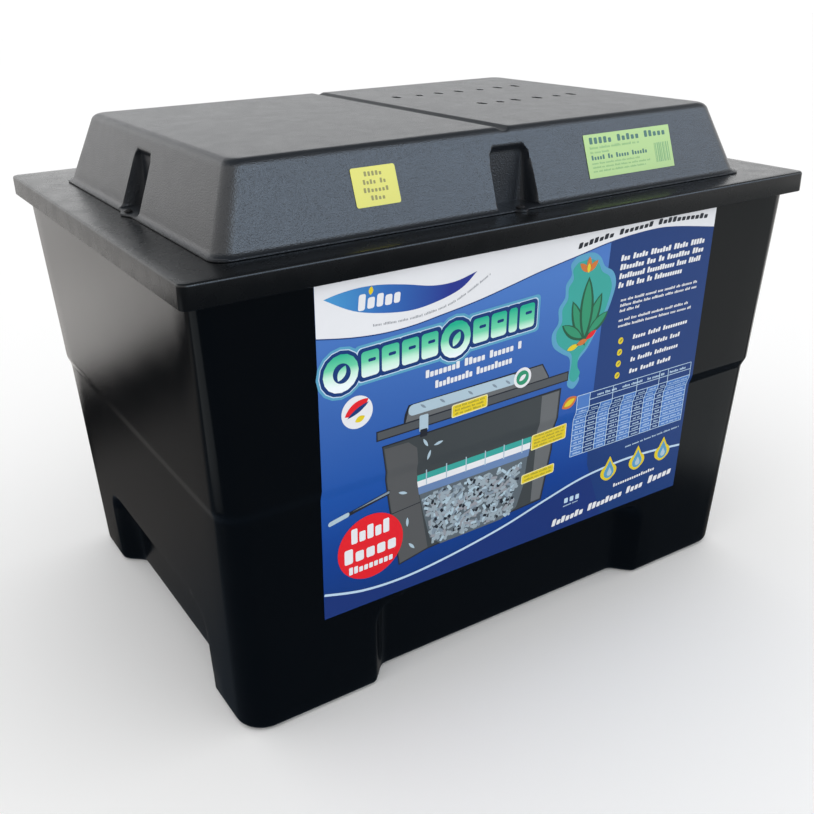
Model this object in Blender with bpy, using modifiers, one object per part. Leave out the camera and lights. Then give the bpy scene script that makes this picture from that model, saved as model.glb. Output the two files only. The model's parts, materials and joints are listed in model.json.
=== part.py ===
"""Box pond filter: a drafted tank of foam and media under a lid that carries a UV clarifier and its cover.

Frame: metres, +X to the right along the labelled face, the labelled face towards -Y, +Z up,
origin on the floor under the middle of the tank.
"""
import bpy
import bmesh
from math import atan2, cos, hypot, pi, sin, tan
from mathutils import Matrix, Vector

# ---------------------------------------------------------------- driving dimensions
GAP = 0.0003                                  # between pieces that touch

FOOT = (0.7317, 0.5232)                       # tank length and width at the floor
WAIST_LOW = (0.7475, 0.5542)                  # just under the moulded step
WAIST_HIGH = (0.7546, 0.5628)                 # just above it
TANK_TOP = (0.7703, 0.5812)                   # under the lid's skirt
WAIST_LOW_Z = 0.2738
WAIST_HIGH_Z = 0.2853
SKIRT_Z = 0.5029
TANK_WALL = 0.0045
FLANGE = 0.0042                               # thickness of the tank's top flange

LID = (0.7960, 0.6020)
LID_TOP_Z = 0.5265
LID_WALL = 0.0040
LID_PLAY = 0.0015                             # between the skirt and the tank's flange

COVER_CENTRE = (-0.0080, -0.0200)             # the cover and the UV unit sit nearer the label
COVER_BASE = (0.6778, 0.4744)                 # where the leaning walls would meet the lid
COVER_TOP = (0.6155, 0.4167)
COVER_BASE_Z = LID_TOP_Z + GAP
COVER_TOP_Z = 0.6086
COVER_FLARE = 0.0035                          # foot turned out round the base
COVER_WALL = 0.0030
COVER_EDGE = 0.0100                           # radius round the top
COVER_CORNER = 0.0180                         # radius of the upright corners
GROOVE_RADIUS = 0.0100
GROOVE_DEPTH = 0.0040

RECESS_TOP = 0.1150                           # hollows between the feet
RECESS_DEPTH = 0.0240
RECESS_SPLAY = 0.0210                         # how far each end leans over that depth
RECESS_CORNER = 0.0300
FRONT_RECESS = (-0.205, 0.205)                # mouth, along X
SIDE_RECESS = (-0.168, 0.168)                 # mouth, along Y

POCKET_HALF = 0.0255                          # screw pockets round the cover
POCKET_REACH = 0.0280
SCREW_OUT = 0.0010                            # screw axis past the foot of the wall
SCREW_EAR = 0.0085                            # radius of the lug round each screw
POCKET_TOP_Z = 0.5910

UV_Z = LID_TOP_Z + 0.0365                     # axis of the UV housing
UV_RADIUS = 0.0290
UV_WALL = 0.0030
UV_LEFT = -0.2620
UV_RIGHT = 0.1860
SPOUT_X = -0.1900
SPOUT_RADIUS = 0.0190
SPOUT_LOW_Z = LID_TOP_Z - 0.0350
INLET_X = 0.1150
INLET_RADIUS = 0.0175
INLET_END = 0.1650

PARTITION_X = -0.2350
PARTITION_TOP = 0.4650
GRID_Z = 0.0500                               # underside of the media grid
GRID_THICK = 0.0060
OUTLET_X = -0.3000
OUTLET_Z = 0.3920
FOAM_ROWS = 6

ROOT = "pond_filter"


# ---------------------------------------------------------------- helpers
def clear_scene():
    for obj in list(bpy.data.objects):
        bpy.data.objects.remove(obj, do_unlink=True)


def new_collection(name):
    collection = bpy.data.collections.new(name)
    bpy.context.scene.collection.children.link(collection)
    return collection


def material(name, colour, roughness, metallic=0.0, alpha=1.0):
    found = bpy.data.materials.get(name)
    if found:
        return found
    made = bpy.data.materials.new(name)
    made.use_nodes = True
    shader = made.node_tree.nodes["Principled BSDF"]
    shader.inputs["Base Color"].default_value = (*colour, 1.0)
    shader.inputs["Roughness"].default_value = roughness
    shader.inputs["Metallic"].default_value = metallic
    shader.inputs["Alpha"].default_value = alpha
    made.diffuse_color = (*colour, alpha)
    return made


MATERIALS = {
    "black_shell": ((0.012, 0.013, 0.015), 0.38),
    "black_cover": ((0.020, 0.022, 0.026), 0.42),
    "black_fitting": ((0.015, 0.015, 0.016), 0.35),
    "white_pvc": ((0.82, 0.83, 0.82), 0.35),
    "grey_plastic": ((0.30, 0.31, 0.32), 0.45),
    "label_blue": ((0.03, 0.12, 0.40), 0.30),
    "label_yellow": ((0.85, 0.72, 0.05), 0.35),
    "label_green": ((0.55, 0.75, 0.18), 0.35),
    "coarse_green_foam": ((0.03, 0.35, 0.25), 0.95),
    "fine_white_foam": ((0.78, 0.80, 0.78), 0.95),
    "blue_pad": ((0.10, 0.30, 0.62), 0.95),
    "media_plastic": ((0.24, 0.26, 0.28), 0.50),
    "seal_rubber": ((0.02, 0.02, 0.02), 0.70),
    "quartz": ((0.85, 0.92, 0.95), 0.05),
    "lamp_glass": ((0.88, 0.90, 0.92), 0.15),
    "zinc": ((0.62, 0.62, 0.60), 0.35),
}


def finish(obj, slot, smooth=True):
    colour, roughness = MATERIALS[slot]
    obj.data.materials.clear()
    obj.data.materials.append(material(slot, colour, roughness))
    if smooth:
        obj.data.shade_smooth()
        obj.data.set_sharp_from_angle(angle=pi / 6)
    return obj


def add_object(name, mesh, collection, parent=None, location=(0, 0, 0), rotation=(0, 0, 0)):
    obj = bpy.data.objects.new(name, mesh)
    obj.location = location
    obj.rotation_euler = rotation
    obj.parent = parent
    collection.objects.link(obj)
    return obj


def mesh_from(build):
    """A mesh made by a function that fills a bmesh."""
    mesh = bpy.data.meshes.new("shape")
    working = bmesh.new()
    build(working)
    bmesh.ops.recalc_face_normals(working, faces=working.faces)
    working.to_mesh(mesh)
    working.free()
    return mesh


def rounded_rectangle(low, high, radius, steps=4):
    """Anticlockwise outline of an upright-cornered box with round corners, as (x, y) pairs."""
    points = []
    corners = ((high[0], high[1], 0.0), (low[0], high[1], 0.5), (low[0], low[1], 1.0), (high[0], low[1], 1.5))
    for x, y, turn in corners:
        centre_x = x - radius if x == high[0] else x + radius
        centre_y = y - radius if y == high[1] else y + radius
        for step in range(steps + 1):
            angle = pi * (turn + 0.5 * step / steps)
            points.append((centre_x + radius * cos(angle), centre_y + radius * sin(angle)))
    return points


def centred(size, radius, z, grow=0.0, steps=4):
    half = (size[0] / 2 + grow, size[1] / 2 + grow)
    outline = rounded_rectangle((-half[0], -half[1]), half, max(radius + grow, 0.002), steps)
    return [Vector((x, y, z)) for x, y in outline]


def loft_mesh(rings):
    def build(working):
        loops = [[working.verts.new(point) for point in ring] for ring in rings]
        for lower, upper in zip(loops, loops[1:]):
            for index in range(len(lower)):
                after = (index + 1) % len(lower)
                working.faces.new((lower[index], lower[after], upper[after], upper[index]))
        working.faces.new(list(reversed(loops[0])))
        working.faces.new(loops[-1])
    return mesh_from(build)


def box_mesh(low, high, bevel=0.0, segments=1):
    def build(working):
        bmesh.ops.create_cube(working, size=1.0)
        size = [b - a for a, b in zip(low, high)]
        middle = [(a + b) / 2 for a, b in zip(low, high)]
        bmesh.ops.scale(working, vec=size, verts=working.verts)
        bmesh.ops.translate(working, vec=middle, verts=working.verts)
        if bevel:
            bmesh.ops.bevel(working, geom=working.edges[:], offset=bevel, segments=segments,
                            affect="EDGES", profile=0.5, clamp_overlap=True)
    return mesh_from(build)


def cylinder_mesh(radius, low, high, sides=24):
    """A cylinder along Z from low to high."""
    def build(working):
        bmesh.ops.create_cone(working, cap_ends=True, segments=sides, radius1=radius, radius2=radius,
                              depth=high - low)
        bmesh.ops.translate(working, vec=(0, 0, (low + high) / 2), verts=working.verts)
    return mesh_from(build)


def turned(name, profile, collection, closed, sides=24, **place):
    """A solid turned about its own Z: the profile of (radius, z) runs down its outer side."""
    mesh = bpy.data.meshes.new(name)
    count = len(profile)
    edges = [(i, i + 1) for i in range(count - 1)]
    if closed:
        edges.append((count - 1, 0))
    mesh.from_pydata([(radius, 0, z) for radius, z in profile], edges, [])
    obj = add_object(name, mesh, collection, **place)
    screw = obj.modifiers.new("Screw", "SCREW")
    screw.steps = sides
    screw.render_steps = sides
    screw.use_merge_vertices = True
    screw.merge_threshold = 0.00005
    screw.use_smooth_shade = True
    return obj


def boolean(target, tool, operation="DIFFERENCE"):
    tool.hide_render = True
    tool.display_type = "WIRE"
    modifier = target.modifiers.new(operation.title(), "BOOLEAN")
    modifier.operation = operation
    modifier.solver = "EXACT"
    modifier.object = tool


def bore(target, name, radius, low, high, sides=16, **place):
    """Cut a round hole along the tool's own Z."""
    tool = add_object(name, cylinder_mesh(radius, low, high, sides), CUTTERS, **place)
    boolean(target, tool)
    return tool


ALONG_X = (0, pi / 2, 0)
ALONG_Y = (-pi / 2, 0, 0)


# ---------------------------------------------------------------- tank
def tank_half_size(z, inside=0.0):
    """Half length and half width of the tank's outer wall at a height, less a wall thickness."""
    stations = ((0.0, FOOT), (WAIST_LOW_Z, WAIST_LOW), (WAIST_HIGH_Z, WAIST_HIGH), (SKIRT_Z, TANK_TOP))
    for (z0, size0), (z1, size1) in zip(stations, stations[1:]):
        if z <= z1 or z1 == SKIRT_Z:
            share = (z - z0) / (z1 - z0)
            return [(a + (b - a) * share) / 2 - inside for a, b in zip(size0, size1)]


def tank_ring(z, corner, inset=0.0):
    half = tank_half_size(z, inset)
    return centred((2 * half[0], 2 * half[1]), max(corner - inset, 0.006), z)


def tank_outer_rings():
    flange = (LID[0] - 2 * (LID_WALL + LID_PLAY), LID[1] - 2 * (LID_WALL + LID_PLAY))
    top = LID_TOP_Z - LID_WALL - GAP
    under = top - FLANGE
    rings = [tank_ring(0.0, 0.034, 0.006)]
    rings[0] = [Vector((p.x, p.y, 0.0)) for p in rings[0]]
    rings.append(tank_ring(0.006, 0.034))
    rings.append(tank_ring(WAIST_LOW_Z, 0.028))
    rings.append(tank_ring(WAIST_HIGH_Z, 0.028))
    rings.append(tank_ring(under, 0.022))
    rings.append(centred(flange, 0.010, under))
    rings.append(centred(flange, 0.010, top))
    return rings


def tank_cavity_rings():
    floor = TANK_WALL
    rings = [tank_ring(floor, 0.030, TANK_WALL + 0.004)]
    rings.append(tank_ring(floor + 0.005, 0.030, TANK_WALL))
    rings.append(tank_ring(WAIST_LOW_Z, 0.028, TANK_WALL))
    rings.append(tank_ring(WAIST_HIGH_Z, 0.028, TANK_WALL))
    rings.append(tank_ring(LID_TOP_Z + 0.02, 0.022, TANK_WALL))
    return rings


def arch(low, high, top, corner, steps=4):
    """Outline of a hollow between two feet, as (along, up) pairs, open past the floor."""
    points = [(high, -0.02)]
    for centre, start in ((high - corner, 0.0), (low + corner, 0.5)):
        for step in range(steps + 1):
            angle = pi * (start + 0.5 * step / steps)
            points.append((centre + corner * cos(angle), top - corner + corner * sin(angle)))
    points.append((low, -0.02))
    return points


def recess_tool(name, mouth, wall, side, grow):
    """One hollow: an arch lofted from past the wall's face to its back. side names the wall it is in."""
    past = 0.03
    slope = RECESS_SPLAY / RECESS_DEPTH
    back_depth = RECESS_DEPTH + grow
    rings = []
    for depth in (-past, back_depth):
        lean = slope * min(depth, RECESS_DEPTH)
        outline = arch(mouth[0] + lean - grow, mouth[1] - lean + grow, RECESS_TOP + grow, RECESS_CORNER)
        ring = []
        for along, up in outline:
            lower, higher = tank_half_size(0.0)[wall], tank_half_size(RECESS_TOP)[wall]
            face = lower + (higher - lower) * up / RECESS_TOP
            distance = side * (face - depth)
            ring.append(Vector((along, distance, up) if wall == 1 else (distance, along, up)))
        rings.append(ring)
    return add_object(name, loft_mesh(rings), CUTTERS)


RECESSES = (("front", FRONT_RECESS, 1, -1), ("back", FRONT_RECESS, 1, 1),
            ("left", SIDE_RECESS, 0, -1), ("right", SIDE_RECESS, 0, 1))


def make_tank():
    tank = add_object("tank", loft_mesh(tank_outer_rings()), PARTS, BODY)
    cavity = add_object("tank_cavity", loft_mesh(tank_cavity_rings()), CUTTERS)
    for name, mouth, wall, side in RECESSES:
        boolean(tank, recess_tool(name + "_recess", mouth, wall, side, 0.0))
        boolean(cavity, recess_tool(name + "_recess_inside", mouth, wall, side, TANK_WALL))
    boolean(tank, cavity)
    bore(tank, "outlet_hole", 0.0270, -0.03, 0.03, 24, parent=OUTLET)
    finish(tank, "black_shell")


def make_front_label():
    """Printed vinyl, flat above and below the step and folded over it."""
    left, right, low, high, thick = -0.270, 0.257, 0.1230, 0.5005, 0.0004
    heights = (low, WAIST_LOW_Z, WAIST_HIGH_Z, high)

    def build(working):
        loops = []
        for x in (left, right):
            near = [working.verts.new((x, -tank_half_size(z)[1] - GAP, z)) for z in heights]
            far = [working.verts.new((x, -tank_half_size(z)[1] - GAP - thick, z)) for z in reversed(heights)]
            loops.append(near + far)
        for index in range(len(loops[0])):
            after = (index + 1) % len(loops[0])
            working.faces.new((loops[0][index], loops[0][after], loops[1][after], loops[1][index]))
        last = len(heights) * 2 - 1
        for loop in loops:
            for index in range(len(heights) - 1):
                working.faces.new((loop[index], loop[index + 1], loop[last - index - 1], loop[last - index]))
    finish(add_object("front_label", mesh_from(build), PARTS, BODY), "label_blue", smooth=False)


# ---------------------------------------------------------------- inside the tank
def flat_plate(name, outline, thick, slot, **place):
    """A plate cut from sheet: a closed 2D outline, given its thickness about its own plane."""
    curve = bpy.data.curves.new(name, "CURVE")
    curve.dimensions = "2D"
    curve.fill_mode = "BOTH"
    curve.extrude = thick / 2
    spline = curve.splines.new("POLY")
    spline.points.add(len(outline) - 1)
    for point, (x, y) in zip(spline.points, outline):
        point.co = (x, y, 0, 1)
    spline.use_cyclic_u = True
    obj = add_object(name, curve, PARTS, **place)
    colour, roughness = MATERIALS[slot]
    curve.materials.append(material(slot, colour, roughness))
    return obj


def make_partition():
    """Wall of the riser chamber, standing on two legs so that water passes under it."""
    clear = TANK_WALL + 0.0020
    stand = TANK_WALL + GAP
    leg, opening = 0.190, GRID_Z + GRID_THICK
    right = [(tank_half_size(z, clear)[1], z) for z in (0.012, WAIST_LOW_Z, WAIST_HIGH_Z, PARTITION_TOP)]
    foot = tank_half_size(0.0, clear)[1] - 0.008
    outline = [(leg, stand), (foot, stand)] + right
    outline += [(-y, z) for y, z in reversed(outline)]
    outline += [(-leg, opening), (leg, opening)]
    flat_plate("riser_partition", outline, 0.004, "black_fitting", parent=BODY,
               location=(PARTITION_X, 0, 0), rotation=(pi / 2, 0, pi / 2))


def add_grating(name, low, high, z, count, bar, parent):
    """A flat grating of bars round count[0] by count[1] openings, its underside at z."""
    lines = []
    for axis in (0, 1):
        pitch = (high[axis] - low[axis] - bar) / count[axis]
        stops = range(2 * count[axis] + 2)
        lines.append([low[axis] + pitch * (i // 2) + (bar if i % 2 else 0) for i in stops])
    working = bmesh.new()
    verts = [[working.verts.new((x, y, 0)) for y in lines[1]] for x in lines[0]]
    for i in range(len(lines[0]) - 1):
        for j in range(len(lines[1]) - 1):
            if i % 2 == 0 or j % 2 == 0:
                working.faces.new((verts[i][j], verts[i + 1][j], verts[i + 1][j + 1], verts[i][j + 1]))
    mesh = bpy.data.meshes.new(name)
    working.to_mesh(mesh)
    working.free()
    obj = add_object(name, mesh, PARTS, parent, (0, 0, z))
    solidify = obj.modifiers.new("Solidify", "SOLIDIFY")
    solidify.thickness = GRID_THICK
    solidify.offset = 1.0
    return obj


def make_media():
    left = PARTITION_X + 0.0040
    low, high = (left, -0.226), (0.331, 0.226)
    grid = add_grating("media_grid", low, high, GRID_Z, (7, 6), 0.010, BODY)
    for number, (x, y) in enumerate(((low[0] + 0.012, low[1] + 0.012), (high[0] - 0.012, low[1] + 0.012),
                                     (low[0] + 0.012, high[1] - 0.012), (high[0] - 0.012, high[1] - 0.012))):
        leg = add_object(f"grid_leg_{number}", cylinder_mesh(0.008, TANK_WALL + GAP - GRID_Z, 0.003, 12),
                         CUTTERS, BODY, (x, y, GRID_Z))
        boolean(grid, leg, "UNION")
    finish(grid, "black_fitting", smooth=False)

    base = GRID_Z + GRID_THICK + GAP
    sections = ((base, 0.331, 0.226), (0.1235, 0.331, 0.226), (0.1300, 0.359, 0.259), (0.2500, 0.3645, 0.2665))
    rings = [[Vector((x, y, z)) for x, y in rounded_rectangle((left, -wide), (right, wide), 0.012, 2)]
             for z, right, wide in sections]
    finish(add_object("media_bed", loft_mesh(rings), PARTS, BODY), "media_plastic", smooth=False)
    outline = rounded_rectangle((left, -0.2665), (0.3645, 0.2665), 0.012, 2)
    pad = loft_mesh([[Vector((x, y, z)) for x, y in outline] for z in (0.2500 + GAP, 0.2680)])
    finish(add_object("media_pad", pad, PARTS, BODY), "blue_pad", smooth=False)


def make_foam():
    left, right, half = PARTITION_X + 0.0040, 0.3716, 0.2757
    tray_low = WAIST_HIGH_Z + 0.0005
    tray_high = tray_low + GRID_THICK
    rings = [tank_ring(z, 0.028, TANK_WALL + 0.0012) for z in (tray_low - 0.001, 0.400)]
    fit = add_object("foam_fit", loft_mesh(rings), CUTTERS)
    tray = add_grating("foam_tray", (left, -half), (right, half), tray_low, (8, 7), 0.010, BODY)
    boolean(tray, fit, "INTERSECT")
    finish(tray, "black_fitting", smooth=False)
    pitch = (right - 0.0010 - left) / FOAM_ROWS
    middle, top = 0.3360, 0.3800
    for row in range(FOAM_ROWS):
        start = left + pitch * row
        low, high = (start, -0.272), (start + pitch - 0.003, 0.272)
        layers = (("fine", "fine_white_foam", tray_high + GAP, middle),
                  ("coarse", "coarse_green_foam", middle + GAP, top))
        for layer, slot, bottom, upper in layers:
            shape = box_mesh((*low, bottom), (*high, upper), 0.003)
            block = add_object(f"{layer}_foam_{row + 1}", shape, PARTS, BODY)
            if row == FOAM_ROWS - 1:
                boolean(block, fit, "INTERSECT")
            finish(block, slot, smooth=False)


# ---------------------------------------------------------------- pipe fittings
def nut_mesh(inner, outer, low, high, sides=12):
    """A back nut: a faceted ring along Z, its flats clear of the inner radius."""
    inner = inner / cos(pi / sides)

    def build(working):
        loops = []
        for radius, z in ((outer, low), (outer, high), (inner, high), (inner, low)):
            turns = [2 * pi * i / sides for i in range(sides)]
            loops.append([working.verts.new((radius * cos(a), radius * sin(a), z)) for a in turns])
        for a, b in zip(loops, loops[1:] + loops[:1]):
            for i in range(sides):
                j = (i + 1) % sides
                working.faces.new((a[i], a[j], b[j], b[i]))
    return mesh_from(build)


def hose_tail_profile(base, flange, radius, wall, end, barbs=3):
    """Flange at base, then a barbed tail to end: a closed profile that runs down the outside from the tip."""
    tip = radius - 0.0012
    outside = [(tip - 0.0008, end), (tip, end - 0.002)]
    pitch = 0.012
    for barb in range(barbs):
        z = end - 0.008 - pitch * barb
        outside += [(radius + 0.0010, z), (tip, z - 0.0015)]
    outside += [(radius, base + 0.006), (radius, base + 0.0020), (flange, base + 0.0020), (flange, base)]
    inside = [(radius - wall, base), (radius - wall, end)]
    return outside + inside


def make_union(prefix, frame, thread, radius, wall, face, end):
    """Seal, hose tail and union nut on a threaded spigot whose end is at face, along the frame's Z."""
    seal = face + GAP
    tail = seal + 0.0020 + GAP
    lip = tail + 0.0020 + GAP
    finish(turned(prefix + "_seal", [(thread - 0.0004, seal + 0.0020), (thread - 0.0004, seal),
                                     (radius - 0.0010, seal), (radius - 0.0010, seal + 0.0020)],
                  PARTS, True, parent=frame), "seal_rubber")
    profile = hose_tail_profile(tail, thread - 0.0004, radius, wall, end)
    finish(turned(prefix + "_hose_tail", profile, PARTS, True, parent=frame), "black_fitting")
    nut = [(thread + 0.0055, lip + 0.0035), (thread + 0.0065, lip + 0.0025), (thread + 0.0065, face - 0.014),
           (thread + GAP * 2, face - 0.014), (thread + GAP * 2, lip), (radius + 0.0006, lip),
           (radius + 0.0006, lip + 0.0035)]
    finish(turned(prefix + "_union_nut", nut, PARTS, True, 20, parent=frame), "black_fitting")


def make_outlet():
    """Tank connector through the back wall of the riser chamber, square to that drafted wall."""
    thread, hollow = 0.0265, 0.0225
    flange, back, inner = 0.0430, 0.0031, -0.0320
    gasket = [(0.0410, back - GAP), (0.0410, GAP), (0.0275, GAP), (0.0275, back - GAP)]
    finish(turned("outlet_gasket", gasket, PARTS, True, parent=OUTLET), "seal_rubber")
    face = 0.0260
    body = [(thread, face), (thread, back + 0.005), (flange, back + 0.005), (flange, back), (thread, back),
            (thread, inner), (hollow, inner), (hollow, face)]
    finish(turned("outlet_connector", body, PARTS, True, parent=OUTLET), "black_fitting")
    nut = nut_mesh(thread + 0.0005, 0.0400, -TANK_WALL - GAP - 0.0120, -TANK_WALL - GAP)
    finish(add_object("outlet_back_nut", nut, PARTS, OUTLET), "black_fitting", smooth=False)
    make_union("outlet", OUTLET, thread, 0.0232, 0.0035, face, 0.085)


# ---------------------------------------------------------------- lid and cover
def cover_screw_places():
    """Screw axes in the four pockets, front, back, left and right of the cover's centre."""
    across, along = COVER_BASE[1] / 2 + SCREW_OUT, COVER_BASE[0] / 2 + SCREW_OUT
    return (("front", 0, -across), ("back", 0, across), ("left", -along, 0), ("right", along, 0))


SADDLE_X = (-0.110, 0.060)
SADDLE_SCREW_Y = 0.0460
HEAD_LOW = (0.1915, -0.085, LID_TOP_Z + GAP)
HEAD_HIGH = (0.2880, 0.085, LID_TOP_Z + 0.0692)
HEAD_POSTS = ((0.2005, -0.076), (0.2005, 0.076), (0.2790, -0.076), (0.2790, 0.076))


def make_lid():
    rings = [centred(LID, 0.008, SKIRT_Z), centred(LID, 0.008, LID_TOP_Z - 0.0018),
             centred(LID, 0.008, LID_TOP_Z, -0.0018)]
    lid = add_object("lid_plate", loft_mesh(rings), PARTS, LID_FRAME)
    inside = [centred(LID, 0.008, z, -LID_WALL) for z in (SKIRT_Z - 0.01, LID_TOP_Z - LID_WALL)]
    boolean(lid, add_object("lid_hollow", loft_mesh(inside), CUTTERS))
    under, over = LID_TOP_Z - 0.02, LID_TOP_Z + 0.02
    bore(lid, "spout_hole", SPOUT_RADIUS + 0.0010, under, over, 24, parent=SERVICE, location=(SPOUT_X, 0, 0))
    for name, x, y in cover_screw_places():
        bore(lid, name + "_screw_hole", 0.0031, under, over, 12, parent=SERVICE, location=(x, y, 0))
    for index, x in enumerate(SADDLE_X):
        for side in (-1, 1):
            bore(lid, f"saddle_hole_{index}_{side}", 0.0023, under, over, 12, parent=SERVICE,
                 location=(x, side * SADDLE_SCREW_Y, 0))
    finish(lid, "black_shell")


def cover_rings(shrink):
    """Base ring, then the round top edge: rings of the cover's outside, or of its inside if shrunk."""
    insets = [(base - top) / 2 for base, top in zip(COVER_BASE, COVER_TOP)]
    height = COVER_TOP_Z - COVER_BASE_Z
    lean = atan2(insets[1], height)
    radius = COVER_EDGE - shrink
    top = height - shrink
    centre_up = top - radius
    centre_in = (centre_up * sin(lean) + radius + shrink) / cos(lean)
    steps = 4
    if shrink:
        into = shrink / cos(lean)
        profile = [(into - 0.01 * tan(lean), -0.01), (into, 0.0)]
    else:
        profile = flare_profile(lean)
    for step in range(steps + 1):
        angle = lean + (pi / 2 - lean) * step / steps
        profile.append((centre_in - radius * cos(angle), centre_up + radius * sin(angle)))
    corner = COVER_CORNER - shrink
    rings = []
    for into, up in profile:
        into_ends = into * insets[0] / insets[1] if into > 0 else into
        size = (COVER_BASE[0] - 2 * into_ends, COVER_BASE[1] - 2 * into)
        rings.append(centred(size, corner - 0.15 * into, COVER_BASE_Z + up))
    return rings


def flare_profile(lean):
    """Turned-out foot: a thin edge, then a hollow curve that runs up into the leaning wall."""
    edge, radius, sweep = 0.0022, 0.0050, 1.2
    wall_up = edge + radius * (1 - cos(sweep))
    centre_in = wall_up * tan(lean) - radius * sin(sweep)
    curve = [(centre_in + radius * sin(sweep * share), edge + radius * (1 - cos(sweep * share)))
             for share in (0.0, 0.35, 0.7, 1.0)]
    return [(-COVER_FLARE, 0.0), (-COVER_FLARE, edge)] + curve


def pocket_tool(name, x, y, grow):
    """A screw pocket: steep back wall, narrower towards the top, open through the cover's side."""
    floor = COVER_BASE_Z + COVER_WALL if grow == 0 else COVER_BASE_Z - 0.02
    outward = Vector((x, y, 0)).normalized()
    aside = Vector((-outward.y, outward.x, 0))
    base_reach = (COVER_BASE[0] if x else COVER_BASE[1]) / 2
    lean = (COVER_BASE[1] - COVER_TOP[1]) / 2 / (COVER_TOP_Z - COVER_BASE_Z)
    tall = POCKET_TOP_Z - COVER_BASE_Z
    rings = []
    for share, half in ((0.0, 1.0), (0.5, 0.96), (0.85, 0.88), (1.0, 0.78)):
        z = COVER_BASE_Z + tall * share
        back = base_reach - POCKET_REACH * (1 - share) - (lean * tall + 0.004) * share
        if share == 0.0:
            z = floor
        if share == 1.0:
            z += grow
        width = POCKET_HALF * half + grow
        round_by = 0.014
        outline = rounded_rectangle((back - grow, -width), (base_reach + 0.03, width), round_by, 3)
        rings.append([outward * u + aside * v + Vector((0, 0, z)) for u, v in outline])
    return add_object(name, loft_mesh(rings), CUTTERS, COVER_FRAME)


def make_cover():
    cover = add_object("cover", loft_mesh(cover_rings(0.0)), PARTS, COVER_FRAME)
    hollow = add_object("cover_hollow", loft_mesh(cover_rings(COVER_WALL)), CUTTERS, COVER_FRAME)
    for place, x, y in cover_screw_places():
        lug = cylinder_mesh(SCREW_EAR, COVER_BASE_Z, COVER_BASE_Z + 2 * COVER_WALL, 16)
        boolean(cover, add_object(place + "_lug", lug, CUTTERS, COVER_FRAME, (x, y, 0)), "UNION")
    axis_z = COVER_TOP_Z - GROOVE_DEPTH + GROOVE_RADIUS
    for target, grow, name in ((cover, 0.0, ""), (hollow, COVER_WALL, "_inside")):
        tool = cylinder_mesh(GROOVE_RADIUS + grow, -0.3, 0.3, 24)
        boolean(target, add_object("groove" + name, tool, CUTTERS, COVER_FRAME, (0, 0, axis_z), ALONG_Y))
        for place, x, y in cover_screw_places():
            boolean(target, pocket_tool(place + "_pocket" + name, x, y, grow))
    boolean(cover, hollow)
    for place, x, y in cover_screw_places():
        bore(cover, place + "_pocket_hole", 0.0031, LID_TOP_Z - 0.02, LID_TOP_Z + 0.02, 12,
             parent=COVER_FRAME, location=(x, y, 0))
    slot_low, slot_half = COVER_BASE_Z - 0.01, 0.0230
    mouth = arch(INLET_X - slot_half, INLET_X + slot_half, UV_Z + slot_half, slot_half - 0.001)
    rings = [[Vector((along, y, max(up, slot_low))) for along, up in mouth] for y in (0.19, 0.27)]
    boolean(cover, add_object("inlet_notch", loft_mesh(rings), CUTTERS, COVER_FRAME))
    cable = box_mesh((0.238, 0.19, slot_low), (0.252, 0.27, COVER_BASE_Z + 0.012))
    boolean(cover, add_object("cable_notch", cable, CUTTERS, COVER_FRAME))
    finish(cover, "black_cover")


def make_cover_screws():
    head_low = COVER_BASE_Z + COVER_WALL + GAP
    for name, x, y in cover_screw_places():
        profile = [(0, 0.0028), (0.0030, 0.0024), (0.0048, 0.0010), (0.0048, 0), (0.0026, 0),
                   (0.0026, -0.0110), (0, -0.0130)]
        screw = turned(f"cover_screw_{name}", profile, PARTS, False, 12, parent=COVER_FRAME,
                       location=(x, y, head_low))
        slot = box_mesh((-0.0006, -0.0035, 0.0016), (0.0006, 0.0035, 0.005))
        boolean(screw, add_object(name + "_drive", slot, CUTTERS, COVER_FRAME, (x, y, head_low)))
        finish(screw, "grey_plastic")


def side_sticker(name, slot, low_x, high_x, low_z, high_z):
    """A sticker on the cover's leaning front wall."""
    lean = (COVER_BASE[1] - COVER_TOP[1]) / 2 / (COVER_TOP_Z - COVER_BASE_Z)
    outline = rounded_rectangle((low_x, low_z), (high_x, high_z), 0.004, 3)
    rings = []
    for out in (GAP, GAP + 0.0004):
        rings.append([Vector((x, -COVER_BASE[1] / 2 + lean * (z - COVER_BASE_Z) - out * 1.07, z))
                      for x, z in outline])
    finish(add_object(name, loft_mesh(rings), PARTS, COVER_FRAME), slot, smooth=False)


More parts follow.
